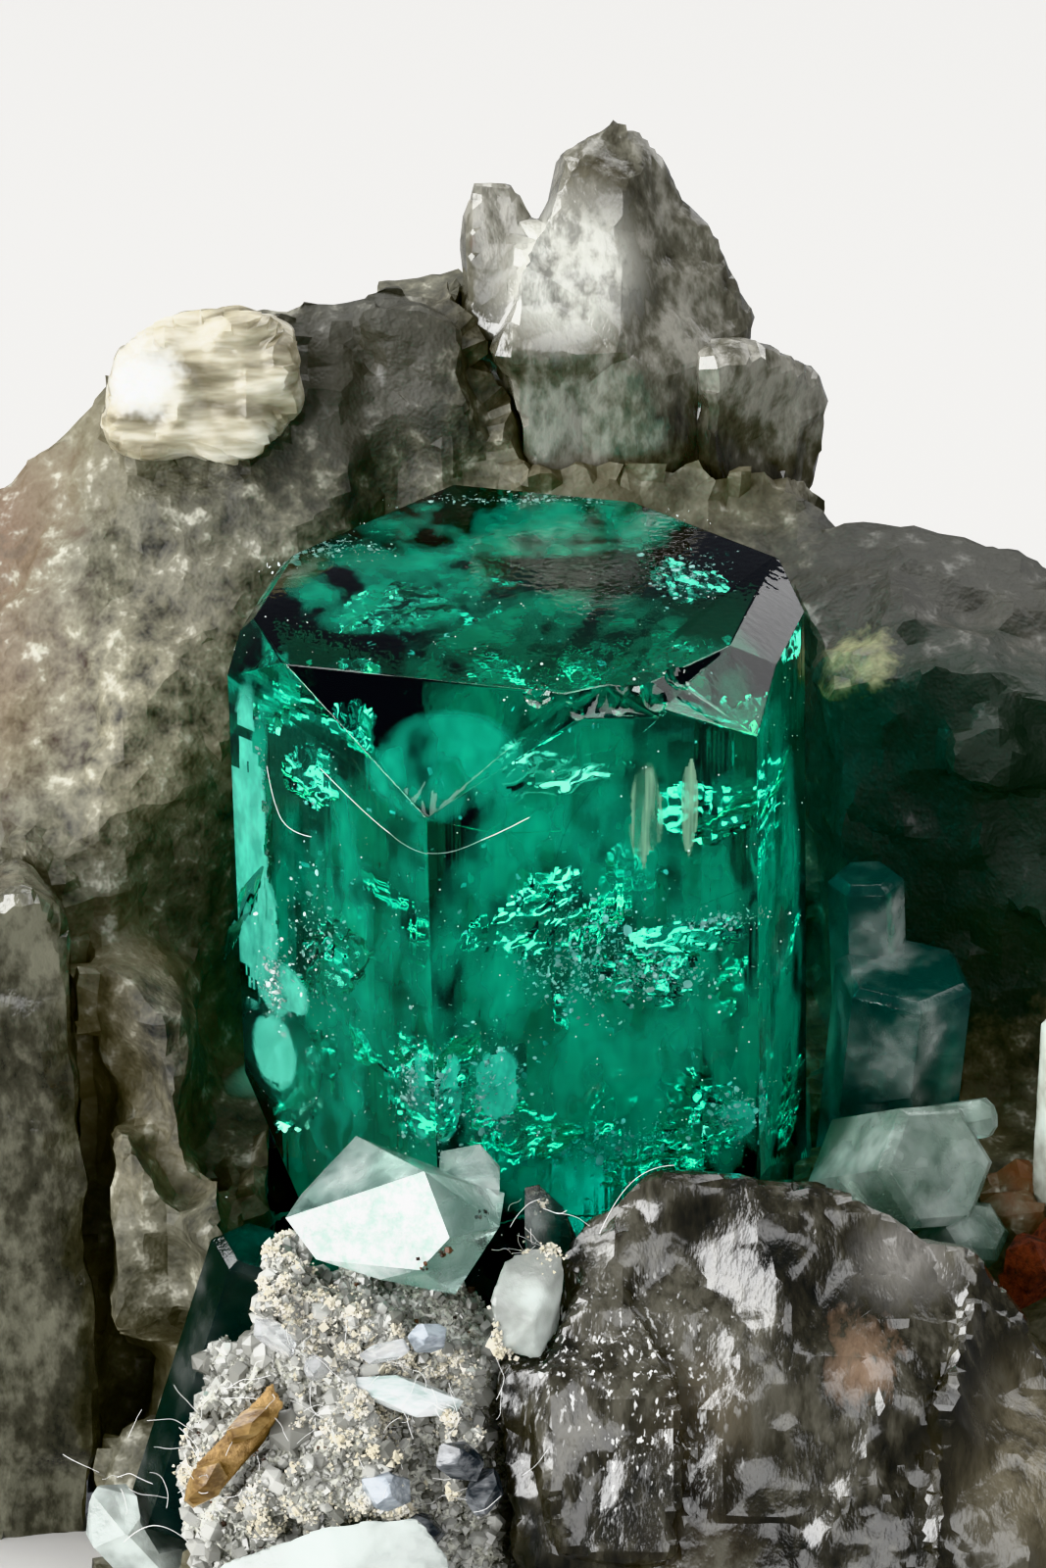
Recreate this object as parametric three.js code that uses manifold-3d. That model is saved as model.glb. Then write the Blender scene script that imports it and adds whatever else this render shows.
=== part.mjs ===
// An emerald crystal standing in its matrix: a hand specimen of brown grey rock, sawn flat below,
// with quartz blocks, a sugary quartz crust and small pale beryls round the large emerald.
// Millimetres. X runs right, Y runs away from the front and Z runs up.
// The corners below are given from the emerald's axis at X = Y = 0 and the sawn base at Z = 0.

import * as THREE from "three";
import { ConvexGeometry } from "three/addons/geometries/ConvexGeometry.js";
import { ConvexHull } from "three/addons/math/ConvexHull.js";
import { ImprovedNoise } from "three/addons/math/ImprovedNoise.js";
import { TessellateModifier } from "three/addons/modifiers/TessellateModifier.js";
import { mergeVertices } from "three/addons/utils/BufferGeometryUtils.js";
import Module from "manifold-3d";

const wasm = await Module();
wasm.setup();

// Clearance between one grown piece and the next.
const GAP = 0.3;

// The emerald: a stout prism whose top leans a little to the left.
const EMERALD_TOP = 22;
const EMERALD_FOOT = 6.5;
const EMERALD_LEAN = 0.021;
const EMERALD_OUTLINE = [
  [-1.9, -5.8],
  [4.75, -3.83],
  [5.85, 0.5],
  [5.25, 2.5],
  [2.55, 5.06],
  [-1.5, 6.02],
  [-4.95, 2.3],
  [-5.95, -1.95],
];
// Faces that cut the top's rim: the way each one faces in plan, how far in it meets the top,
// and how far down it meets the side.
const EMERALD_TRUNCATIONS = [
  { toward: [-0.233, -0.972], inset: 1.93, drop: 2.13 },
  { toward: [0.725, -0.688], inset: 1.45, drop: 1.28 },
  { toward: [0.972, -0.233], inset: 0.91, drop: 0.52 },
  { toward: [-0.959, -0.284], inset: 0.82, drop: 0.82 },
];
const EMERALD_BACK_EDGES = [3, 4, 5, 6];
const EMERALD_BACK_BEVEL = 0.3;
const EMERALD_CHIPS = [
  { centre: [1.9, -5.2, 22.3], size: [1.7, 1.2, 1.4], seed: 5 },
  { centre: [-6.9, -2.4, 9.2], size: [1.9, 2.8, 3.0], seed: 9 },
];

// Small beryls and the quartz pyramid share these forms.
const BERYL_BEVEL = 0.18;
const QUARTZ_PYRAMID_TILT = THREE.MathUtils.degToRad(51.8);

const QUARTZ_TIP_SPREAD = 0.16;

// A broken fragment is a ball cut by this many flat faces, each set in by chance as far as the deepest cut.
const FRAGMENT_FACES = 9;
const GRAIN_FACES = 7;
const FRAGMENT_DEEPEST_CUT = 0.28;
const GOLDEN_ANGLE = Math.PI * (3 - Math.sqrt(5));

// Relief of the broken rock: longest facet, depth of the hollows and their width.
const ROCK_FACET = 3.8;
const FACET_SPLITS = 14;
const ROCK_RELIEF = 0.5;
const ROCK_GRAIN = 2.6;
const GLASSY_RELIEF = 0.2;
const HOLLOW_MEAN = 0.5;
const HOLLOW_BROAD = 0.35;
const HOLLOW_FINE = 0.45;

// Quartz grains of the crust, which grow only on what shows of it.
const CRUST_GRAINS = 54;
const CRUST_GRAIN_SIZE = 0.5;
const CRUST_LOWEST_GRAIN = 4.2;
const CRUST_BACK = -6.4;

// Lumps on the rock, sunk in it by about half, clear of the base and of the emerald.
const ROCK_LUMP_SIZE = 0.95;
const LUMP_SUNK = 0.55;
const LUMP_LOWEST = 1.6;
const LUMP_NEAREST = 7.4;
const ROCK_MIDDLE = [0, 4, 10];

// A wide block that stands on the plane of the sawn base.
const SAW_WIDTH = 60;

// Points and planes nearer than this are one.
const SAME_POINT = 1e-2;
const SAME_PLANE = 1e-3;
const ON_PLANE = 1e-4;
const SEED_SPREAD = 7919;

const noise = new ImprovedNoise();

// Repeatable chance values from 0 to 1, by the minimal standard generator.
function randomFrom(seed) {
  const modulus = 2 ** 31 - 1;
  let state = seed * SEED_SPREAD;
  const next = () => {
    state = (state * 16807) % modulus;
    return state / modulus;
  };
  next();
  return next;
}

// A stone is a list of planes whose normals point out of it. It fills the space behind them all.
function planeThrough(point, normal) {
  return new THREE.Plane().setFromNormalAndCoplanarPoint(normal.clone().normalize(), point);
}

function stoneFromCorners(corners) {
  const points = corners.map((corner) => new THREE.Vector3(...corner));
  const planes = [];
  for (const face of new ConvexHull().setFromPoints(points).faces) {
    const known = planes.some(({ normal, constant }) => {
      const turned = normal.distanceTo(face.normal);
      const moved = Math.abs(constant + face.constant);
      return turned < SAME_PLANE && moved < SAME_PLANE;
    });
    if (!known) planes.push(new THREE.Plane(face.normal.clone(), -face.constant));
  }
  return planes;
}

function meetingPoint(a, b, c) {
  const bc = new THREE.Vector3().crossVectors(b.normal, c.normal);
  const ca = new THREE.Vector3().crossVectors(c.normal, a.normal);
  const ab = new THREE.Vector3().crossVectors(a.normal, b.normal);
  const volume = a.normal.dot(bc);
  if (Math.abs(volume) < ON_PLANE / 10) return null;
  return bc
    .multiplyScalar(-a.constant)
    .addScaledVector(ca, -b.constant)
    .addScaledVector(ab, -c.constant)
    .divideScalar(volume);
}

// The stone's shape, with every face moved out by the margin.
function stoneShape(stone, margin = 0) {
  const planes = stone.map((plane) => new THREE.Plane(plane.normal, plane.constant - margin));
  const corners = [];
  for (let i = 0; i < planes.length; i += 1)
    for (let j = i + 1; j < planes.length; j += 1)
      for (let k = j + 1; k < planes.length; k += 1) {
        const corner = meetingPoint(planes[i], planes[j], planes[k]);
        if (!corner || planes.some((plane) => plane.distanceToPoint(corner) > ON_PLANE)) continue;
        if (corners.every((other) => other.distanceTo(corner) > SAME_POINT)) corners.push(corner);
      }
  return new ConvexGeometry(corners);
}

function solidOf(geometry) {
  const bare = geometry.clone();
  bare.deleteAttribute("normal");
  bare.deleteAttribute("uv");
  const merged = mergeVertices(bare, ON_PLANE);
  return new wasm.Manifold(
    new wasm.Mesh({
      numProp: 3,
      vertProperties: merged.attributes.position.array,
      triVerts: new Uint32Array(merged.index.array),
    }),
  );
}

function geometryOf(solid) {
  const { vertProperties, triVerts } = solid.getMesh();
  const geometry = new THREE.BufferGeometry();
  geometry.setAttribute("position", new THREE.BufferAttribute(vertProperties, 3));
  geometry.setIndex(new THREE.BufferAttribute(triVerts, 1));
  const faceted = geometry.toNonIndexed();
  faceted.computeVertexNormals();
  return faceted;
}

function joined(solids) {
  return solids.reduce((sum, solid) => sum.add(solid));
}

// Broken surfaces: the faces are split into small facets, which sink towards the middle by uneven amounts.
function weathered(geometry, relief) {
  const split = new TessellateModifier(ROCK_FACET, FACET_SPLITS).modify(geometry);
  const position = split.getAttribute("position");
  split.computeBoundingBox();
  const middle = split.boundingBox.getCenter(new THREE.Vector3());
  const point = new THREE.Vector3();
  const inward = new THREE.Vector3();
  for (let i = 0; i < position.count; i += 1) {
    point.fromBufferAttribute(position, i);
    const { x, y, z } = point.clone().divideScalar(ROCK_GRAIN);
    const broad = HOLLOW_BROAD * noise.noise(x, y, z);
    const fine = HOLLOW_FINE * noise.noise(2 * x + ROCK_FACET, 2 * y, 2 * z);
    inward.subVectors(middle, point).normalize();
    point.addScaledVector(inward, relief * (HOLLOW_MEAN + broad + fine));
    position.setXYZ(i, point.x, point.y, point.z);
  }
  return split;
}

// A broken fragment, its flat faces spread round the centre and set in or out by chance.
function fragment({ centre, size, seed, faces = FRAGMENT_FACES }) {
  const random = randomFrom(seed);
  const turn = random() * Math.PI * 2;
  const middle = new THREE.Vector3(...centre);
  return Array.from({ length: faces }, (_, i) => {
    const height = 1 - (2 * i + 1) / faces;
    const around = turn + i * GOLDEN_ANGLE + 0.5 * random();
    const ring = Math.sqrt(1 - height * height);
    const out = new THREE.Vector3(ring * Math.cos(around), ring * Math.sin(around), height + 0.3 * random());
    const touch = out.clone().multiply(new THREE.Vector3(...size));
    touch.multiplyScalar(1 - FRAGMENT_DEEPEST_CUT * (1 - random()));
    return planeThrough(touch.add(middle), out);
  });
}

// A six-sided prism from foot to tip, with its end faces given by the caller.
function prism(foot, tip, width, turn) {
  const start = new THREE.Vector3(...foot);
  const end = new THREE.Vector3(...tip);
  const axis = end.clone().sub(start).normalize();
  const side = new THREE.Vector3(0, 1, 0).cross(axis).normalize();
  const rays = Array.from({ length: 6 }, (_, i) =>
    side.clone().applyAxisAngle(axis, turn + (i * Math.PI) / 3),
  );
  const sides = rays.map((ray) => planeThrough(start.clone().addScaledVector(ray, width / 2), ray));
  return { start, end, axis, rays, planes: [...sides, planeThrough(start, axis.clone().negate())] };
}

// A beryl ends in a flat face with narrow bevels round it.
function beryl({ foot, tip, width, turn }) {
  const { end, axis, rays, planes } = prism(foot, tip, width, turn);
  const bevels = rays.map((ray) =>
    planeThrough(
      end.clone().addScaledVector(ray, width / 2 - BERYL_BEVEL),
      ray.clone().add(axis),
    ),
  );
  return [...planes, planeThrough(end, axis), ...bevels];
}

// A quartz crystal ends in six faces that meet near its tip, some larger than others.
function quartz({ foot, tip, width, turn, seed }) {
  const { end, axis, rays, planes } = prism(foot, tip, width, turn);
  const random = randomFrom(seed);
  const pyramid = rays.map((ray) =>
    planeThrough(
      end.clone().addScaledVector(ray, QUARTZ_TIP_SPREAD * width * random()),
      ray
        .clone()
        .multiplyScalar(Math.sin(QUARTZ_PYRAMID_TILT))
        .addScaledVector(axis, Math.cos(QUARTZ_PYRAMID_TILT)),
    ),
  );
  return [...planes, ...pyramid];
}

// Points where rays from the stone's middle leave it, for small crystals to grow on.
function surfacePoints(stone, count, seed) {
  const random = randomFrom(seed);
  const shape = stoneShape(stone);
  shape.computeBoundingBox();
  const middle = shape.boundingBox.getCenter(new THREE.Vector3());
  return Array.from({ length: count }, () => {
    const height = 2 * random() - 1;
    const around = random() * Math.PI * 2;
    const ring = Math.sqrt(1 - height * height);
    const way = new THREE.Vector3(ring * Math.cos(around), ring * Math.sin(around), height);
    const reach = stone.map((plane) => {
      const slope = plane.normal.dot(way);
      return slope > 0 ? -plane.distanceToPoint(middle) / slope : Infinity;
    });
    return middle.clone().addScaledVector(way, Math.min(...reach));
  });
}

// Each crystal set so far leaves its pocket in the pieces made after it.
const specimen = new THREE.Group();
const pockets = [];

function setPiece(name, material, stones, solid) {
  const bodies = pockets.reduce((rest, pocket) => rest.subtract(pocket), solid).decompose();
  const largest = bodies.reduce((best, body) => (body.volume() > best.volume() ? body : best));
  const mesh = new THREE.Mesh(geometryOf(largest), material);
  mesh.name = name;
  specimen.add(mesh);
  pockets.push(joined(stones.map((stone) => solidOf(stoneShape(stone, GAP)))));
}

function setCrystal(name, material, stones) {
  setPiece(name, material, stones, joined(stones.map((stone) => solidOf(stoneShape(stone)))));
}

const emeraldGreen = new THREE.MeshStandardMaterial({
  color: 0x04905f,
  roughness: 0.08,
  metalness: 0,
  transparent: true,
  opacity: 0.8,
});
const paleBeryl = new THREE.MeshStandardMaterial({ color: 0x9cc7b4, roughness: 0.2, metalness: 0 });
const darkBeryl = new THREE.MeshStandardMaterial({ color: 0x14563f, roughness: 0.2, metalness: 0 });
const smokyQuartz = new THREE.MeshStandardMaterial({ color: 0x6b645b, roughness: 0.22, metalness: 0 });
const clearQuartz = new THREE.MeshStandardMaterial({ color: 0x8d9691, roughness: 0.12, metalness: 0 });
const milkyQuartz = new THREE.MeshStandardMaterial({ color: 0xc9cbc4, roughness: 0.45, metalness: 0 });
const sugaryQuartz = new THREE.MeshStandardMaterial({ color: 0xa8a7a0, roughness: 0.4, metalness: 0 });
const creamCalcite = new THREE.MeshStandardMaterial({ color: 0xcdc2a0, roughness: 0.4, metalness: 0 });
const ochre = new THREE.MeshStandardMaterial({ color: 0xa37a3c, roughness: 0.5, metalness: 0 });
const ironRust = new THREE.MeshStandardMaterial({ color: 0x5e2616, roughness: 0.8, metalness: 0 });
const brownRock = new THREE.MeshStandardMaterial({ color: 0x6f675a, roughness: 0.65, metalness: 0 });

// The emerald.
function emeraldStone() {
  const axis = new THREE.Vector3(-EMERALD_LEAN, 0, 1);
  const up = new THREE.Vector3(0, 0, 1);
  const corners = EMERALD_OUTLINE.map(([x, y]) => new THREE.Vector3(x, y, EMERALD_TOP));
  const next = (i) => corners[(i + 1) % corners.length];
  const sides = corners.map((corner, i) =>
    planeThrough(corner, new THREE.Vector3().subVectors(next(i), corner).cross(axis)),
  );
  const rim = ({ toward, inset, drop }) => {
    const way = new THREE.Vector3(...toward, 0).normalize();
    const reach = Math.max(...corners.map((corner) => corner.dot(way)));
    const meet = way.clone().multiplyScalar(reach - inset).setZ(EMERALD_TOP);
    return planeThrough(meet, way.clone().multiplyScalar(drop).setZ(inset));
  };
  const backBevels = EMERALD_BACK_EDGES.map((i) => {
    const { x, y } = sides[i].normal;
    return { toward: [x, y], inset: EMERALD_BACK_BEVEL, drop: EMERALD_BACK_BEVEL };
  });
  return [
    ...sides,
    planeThrough(new THREE.Vector3(0, 0, EMERALD_TOP), up),
    planeThrough(new THREE.Vector3(0, 0, EMERALD_FOOT), up.clone().negate()),
    ...[...EMERALD_TRUNCATIONS, ...backBevels].map(rim),
  ];
}

const emerald = emeraldStone();
const emeraldChips = EMERALD_CHIPS.map((chip) => solidOf(stoneShape(fragment(chip))));
setPiece(
  "emerald_crystal",
  emeraldGreen,
  [emerald],
  emeraldChips.reduce((rest, chip) => rest.subtract(chip), solidOf(stoneShape(emerald))),
);

// The pale faceted beryl in front, with the small block that stands on its right shoulder.
setCrystal("pale_beryl_front", paleBeryl, [
  stoneFromCorners([
    [-4.7, -8.2, 12.1],
    [-1.9, -8.6, 13.4],
    [-1.4, -9.0, 12.1],
    [-2.0, -8.9, 11.3],
    [-2.8, -8.6, 10.9],
    [-4.1, -8.3, 11.2],
    [-3.3, -6.8, 13.2],
    [-4.4, -7.4, 12.2],
    [-0.3, -7.2, 12.1],
    [-0.4, -8.2, 11.9],
    [-1.3, -8.0, 10.2],
    [-2.2, -6.5, 12.4],
    [-3.4, -6.8, 10.4],
    [-0.8, -6.7, 10.6],
  ]),
  stoneFromCorners([
    [-1.6, -6.9, 12.9],
    [-0.8, -6.6, 12.9],
    [-0.4, -6.8, 12.5],
    [-0.4, -7.4, 12.3],
    [-1.6, -7.8, 12.6],
    [-0.5, -6.5, 11.6],
    [-1.7, -6.6, 11.6],
    [-0.6, -7.6, 11.4],
    [-1.7, -7.6, 11.4],
  ]),
]);

// The quartz chips between the pale beryl and the smoky block.
setCrystal("clear_quartz_front", clearQuartz, [
  stoneFromCorners([
    [0.1, -6.6, 11.9],
    [0.4, -6.3, 11.8],
    [0.9, -6.2, 11.2],
    [1.2, -6.3, 10.5],
    [0.1, -7.3, 11.3],
    [0.2, -7.3, 10.2],
    [0.2, -6.3, 9.2],
    [1.1, -6.3, 9.2],
    [1.0, -7.0, 9.4],
    [0.2, -7.1, 9.2],
  ]),
]);
setCrystal("white_quartz_front", milkyQuartz, [
  stoneFromCorners([
    [0.4, -7.7, 11.2],
    [0.9, -7.7, 11.0],
    [0.9, -7.9, 10.4],
    [-0.3, -7.9, 11.0],
    [-0.6, -8.5, 10.4],
    [-0.4, -8.9, 9.4],
    [0.3, -8.7, 10.0],
    [-0.4, -7.6, 9.2],
    [0.8, -7.7, 9.2],
    [0.4, -8.6, 9.0],
  ]),
]);

// The large pale crystal low at the front.
setCrystal("pale_quartz_front_low", milkyQuartz, [
  stoneFromCorners([
    [-6.1, -10.4, 5.3],
    [-3.9, -10.7, 6.4],
    [-2.1, -10.8, 6.7],
    [-1.8, -11.0, 6.5],
    [-1.4, -11.2, 5.9],
    [-3.5, -11.6, 5.6],
    [-6.3, -10.9, 4.2],
    [-1.3, -11.3, 4.2],
    [-5.6, -9.6, 4.4],
    [-1.8, -9.8, 4.6],
    [-2.6, -11.7, 3.6],
    [-5.2, -11.4, 3.4],
    [-3.6, -9.8, 2.6],
  ]),
]);

// The ochre tablet that leans in the crust.
setCrystal("ochre_flake", ochre, [
  stoneFromCorners([
    [-5.0, -9.0, 8.8],
    [-4.7, -9.3, 8.4],
    [-5.9, -9.6, 7.7],
    [-6.6, -9.7, 7.2],
    [-6.7, -9.8, 6.3],
    [-6.1, -9.9, 6.6],
    [-5.2, -8.8, 7.2],
    [-6.4, -9.1, 6.2],
  ]),
]);

// The smoky quartz block at the front right, sawn through with the base.
const smokyFront = stoneFromCorners([
  [1.4, -6.6, 11.5],
  [2.4, -6.6, 12.3],
  [3.3, -6.7, 12.5],
  [7.4, -6.8, 11.6],
  [9.1, -6.9, 10.7],
  [10.2, -6.9, 8.9],
  [12.6, -7.0, 6.2],
  [1.3, -6.0, 9.0],
  [5.2, -5.0, 10.6],
  [9.2, -5.0, 9.6],
  [12.4, -5.2, 5.6],
  [0.8, -7.3, 9.9],
  [-0.5, -8.5, 8.6],
  [-0.7, -9.2, 7.8],
  [-0.1, -10.1, 5.8],
  [0.6, -10.9, 3.0],
  [5.0, -11.6, 3.2],
  [9.6, -11.4, 3.6],
  [12.6, -9.6, 3.4],
  [1.0, -10.8, -0.5],
  [9.6, -11.2, -0.5],
  [12.6, -9.4, -0.5],
  [12.6, -5.6, -0.5],
  [1.6, -6.2, -0.5],
]);
const smokyFrontSteps = [
  [
    [9.2, -7.6, 9.9],
    [10.3, -7.3, 9.0],
    [12.6, -8.0, 5.6],
    [8.5, -9.4, 8.2],
    [8.2, -11.0, 5.2],
    [8.4, -11.8, 2.0],
    [12.6, -10.4, 2.4],
    [8.6, -8.0, 5.0],
    [12.0, -8.0, 3.0],
  ],
  [
    [0.2, -8.4, 9.2],
    [2.0, -8.0, 10.3],
    [2.8, -8.6, 9.8],
    [3.4, -9.8, 7.8],
    [0.4, -9.8, 7.4],
    [3.0, -10.8, 5.6],
    [1.0, -10.7, 5.6],
    [0.8, -8.4, 6.0],
    [3.0, -8.4, 6.0],
  ],
].map(stoneFromCorners);

// What lies above the sawn base is kept of each block.
const aboveBase = solidOf(
  new THREE.BoxGeometry(SAW_WIDTH, SAW_WIDTH, SAW_WIDTH).translate(0, 0, SAW_WIDTH / 2),
);
setPiece(
  "smoky_quartz_front",
  smokyQuartz,
  [smokyFront, ...smokyFrontSteps],
  joined([
    solidOf(weathered(stoneShape(smokyFront), GLASSY_RELIEF)),
    ...smokyFrontSteps.map((stone) => solidOf(stoneShape(stone))),
  ]).intersect(aboveBase),
);

// The tall smoky block at the left.
const smokyLeft = stoneFromCorners([
  [-13.4, -1.6, 14.6],
  [-10.3, -1.2, 15.9],
  [-9.6, -1.1, 15.3],
  [-9.3, -1.1, 13.7],
  [-9.1, -1.2, 9.0],
  [-9.1, -1.1, 5.6],
  [-9.3, -0.9, -0.5],
  [-13.6, -1.4, -0.5],
  [-13.9, 1.6, 13.4],
  [-10.6, 2.2, 15.2],
  [-9.8, 2.0, 14.0],
  [-9.8, 2.4, -0.5],
  [-13.9, 2.0, -0.5],
]);
setPiece(
  "smoky_quartz_left",
  smokyQuartz,
  [smokyLeft],
  solidOf(weathered(stoneShape(smokyLeft), GLASSY_RELIEF)).intersect(aboveBase),
);

// The sugary quartz crust at the front left: a mass of grown-together grains.
const crustMass = stoneFromCorners([
  [-4.9, -8.2, 10.8],
  [-2.8, -8.4, 10.3],
  [-0.7, -8.2, 9.0],
  [-5.9, -8.3, 9.2],
  [-7.2, -8.4, 7.4],
  [-7.4, -8.6, 6.3],
  [-6.9, -9.2, 4.0],
  [-1.5, -9.7, 6.2],
  [-4.2, -10.1, 6.4],
  [-0.4, -9.1, 7.4],
  [0.2, -9.4, 5.0],
  [-4.4, -6.4, 10.3],
  [-1.2, -6.5, 10.2],
  [-6.4, -6.6, 7.2],
  [-6.4, -7.0, 3.2],
  [0.4, -6.6, 8.6],
  [0.6, -7.0, 3.0],
  [-5.8, -10.0, 3.0],
  [-1.0, -10.4, 3.0],
]);
const crustGrains = surfacePoints(crustMass, CRUST_GRAINS, 11)
  .filter((point) => point.z > CRUST_LOWEST_GRAIN && point.y < CRUST_BACK)
  .map((point, i) => {
    const radius = CRUST_GRAIN_SIZE * THREE.MathUtils.lerp(0.65, 1.35, randomFrom(i + 1)());
    return fragment({
      centre: point.toArray(),
      size: [radius, radius, radius],
      seed: 100 + i,
      faces: GRAIN_FACES,
    });
  });
setPiece(
  "quartz_crust",
  sugaryQuartz,
  [crustMass, ...crustGrains],
  joined([
    solidOf(weathered(stoneShape(crustMass), ROCK_RELIEF)),
    ...crustGrains.map((grain) => solidOf(stoneShape(grain))),
  ]),
);

// The rounded pale beryl at the right and the slim one grown onto it.
setCrystal("pale_beryl_right", paleBeryl, [
  beryl({ foot: [7.3, -1.6, 9.3], tip: [8.7, -3.6, 10.7], width: 2.5, turn: 0.2 }),
  beryl({ foot: [8.0, -1.9, 10.6], tip: [9.9, -2.4, 11.2], width: 0.8, turn: 0.6 }),
  beryl({ foot: [8.6, -2.6, 7.6], tip: [9.6, -3.9, 9.4], width: 1.3, turn: 0.9 }),
]);

// The darker green crystals behind it.
setCrystal("green_beryl_right", darkBeryl, [
  beryl({ foot: [7.7, 0.9, 7.0], tip: [8.1, 0.4, 13.2], width: 2.6, turn: 0.2 }),
  beryl({ foot: [7.6, 1.6, 9.0], tip: [7.3, 1.5, 14.9], width: 1.4, turn: 0.5 }),
]);

// The small emerald deep in the gap at the lower left.
setCrystal("small_emerald_left", emeraldGreen, [
  beryl({ foot: [-7.2, -4.2, 2.6], tip: [-5.3, -4.4, 9.2], width: 1.9, turn: 0.4 }),
]);

setCrystal("pale_crystal_left_low", milkyQuartz, [
  quartz({ foot: [-6.9, -4.6, 0.7], tip: [-8.9, -4.9, 3.5], width: 1.5, turn: 0.3, seed: 3 }),
]);

setCrystal("pale_crystal_right_edge", paleBeryl, [
  beryl({ foot: [11.6, -2.2, 7.0], tip: [11.7, -2.5, 13.6], width: 1.6, turn: 0.5 }),
]);

setCrystal(
  "rust_patch",
  ironRust,
  [
    { centre: [10.8, -4.3, 8.6], size: [0.8, 0.6, 0.7], seed: 31 },
    { centre: [11.5, -4.0, 8.9], size: [0.8, 0.6, 0.9], seed: 32 },
    { centre: [12.2, -3.9, 8.7], size: [0.7, 0.6, 0.6], seed: 33 },
  ].map(fragment),
);

// The cream banded crystal that lies along the left hill.
setCrystal("calcite_band_back", creamCalcite, [
  stoneFromCorners([
    [-8.7, 8.0, 22.4],
    [-8.3, 8.4, 23.5],
    [-7.6, 8.4, 24.2],
    [-5.8, 8.4, 24.6],
    [-5.2, 8.2, 24.0],
    [-5.1, 7.9, 22.9],
    [-5.8, 7.6, 22.3],
    [-8.0, 7.7, 22.0],
    [-8.2, 9.8, 22.6],
    [-5.2, 9.8, 23.6],
    [-5.4, 9.6, 22.0],
    [-8.0, 9.6, 21.4],
  ]),
]);

// The quartz group that stands highest: the broken main crystal, its right shoulder and the knob.
const peakMain = stoneFromCorners([
  [0.6, 10.4, 26.4],
  [1.0, 11.0, 27.6],
  [1.9, 11.3, 28.2],
  [2.7, 11.3, 27.8],
  [3.8, 11.2, 26.4],
  [4.6, 11.0, 24.8],
  [5.0, 10.8, 22.8],
  [-0.1, 9.0, 25.9],
  [-0.4, 8.8, 23.8],
  [2.3, 8.9, 24.0],
  [0.2, 8.6, 20.6],
  [4.2, 9.4, 19.6],
  [0.6, 13.4, 24.6],
  [3.6, 13.6, 24.0],
  [0.4, 13.4, 19.0],
  [4.4, 13.2, 18.4],
]);
const peakShoulder = stoneFromCorners([
  [4.2, 9.6, 23.4],
  [5.2, 10.0, 23.2],
  [6.6, 10.6, 22.5],
  [6.8, 10.8, 21.3],
  [6.3, 10.6, 18.6],
  [4.0, 9.0, 21.4],
  [4.6, 9.0, 18.4],
  [5.4, 12.8, 21.6],
  [5.6, 12.8, 18.0],
  [3.6, 12.4, 18.6],
]);
const peakKnob = stoneFromCorners([
  [-1.2, 10.6, 26.3],
  [-0.9, 10.8, 27.0],
  [-0.2, 10.8, 27.0],
  [0.1, 10.6, 26.2],
  [-1.3, 9.8, 24.2],
  [0.3, 9.6, 24.0],
  [-1.4, 9.8, 21.6],
  [0.6, 9.6, 21.0],
  [-1.0, 12.4, 25.0],
  [0.6, 12.6, 24.8],
  [-1.2, 12.4, 20.6],
  [0.6, 12.6, 20.2],
]);
const peakStones = [peakMain, peakShoulder, peakKnob];
setPiece(
  "quartz_peak",
  smokyQuartz,
  peakStones,
  joined(peakStones.map((stone) => solidOf(weathered(stoneShape(stone), GLASSY_RELIEF)))),
);

// The rock. Each block is one broken mass, and the blocks are one piece.
const leftHill = stoneFromCorners([
  [-13.9, 8.8, 18.8],
  [-11.3, 9.4, 20.8],
  [-8.7, 9.8, 23.0],
  [-6.6, 10.0, 24.4],
  [-3.1, 10.0, 25.0],
  [-1.4, 10.4, 24.8],
  [-13.6, 2.2, 13.8],
  [-9.2, 2.0, 15.6],
  [-6.6, 3.6, 16.4],
  [-4.0, 7.2, 20.6],
  [-13.6, 2.6, -0.5],
  [-9.0, 0.8, -0.5],
  [-6.7, 2.4, 6.0],
  [-6.8, 2.0, -0.5],
  [-3.6, 7.2, 6.0],
  [-12.8, 10.4, -0.5],
  [-11.6, 12.4, 14.0],
  [-4.0, 13.9, 15.0],
  [-3.4, 14.0, -0.5],
  [-2.0, 12.6, 22.6],
  [-8.5, 12.4, 20.2],
]);
const backRidge = stoneFromCorners([
  [-3.6, 7.6, 19.4],
  [1.5, 7.2, 19.2],
  [5.4, 6.4, 18.8],
  [-2.4, 9.4, 23.0],
  [1.5, 9.4, 22.2],
  [5.0, 9.0, 21.0],
  [6.8, 9.0, 20.2],
  [-3.0, 13.6, 20.0],
  [6.4, 13.4, 18.0],
  [-4.0, 7.0, 5.0],
  [6.6, 5.0, 5.0],
  [-4.0, 14.2, -0.5],
  [7.4, 13.6, -0.5],
]);
const saddle = stoneFromCorners([
  [-3.4, 9.2, 24.7],
  [-2.1, 9.0, 24.7],
  [-1.4, 9.0, 24.4],
  [-2.8, 8.2, 22.8],
  [-1.0, 8.0, 22.2],
  [-0.6, 8.6, 20.0],
  [-2.6, 8.0, 19.0],
  [-1.0, 12.4, 24.0],
  [-3.2, 12.4, 24.2],
  [0.6, 13.2, 22.8],
  [0.4, 12.8, 18.0],
  [-3.0, 12.8, 18.0],
]);
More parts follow.
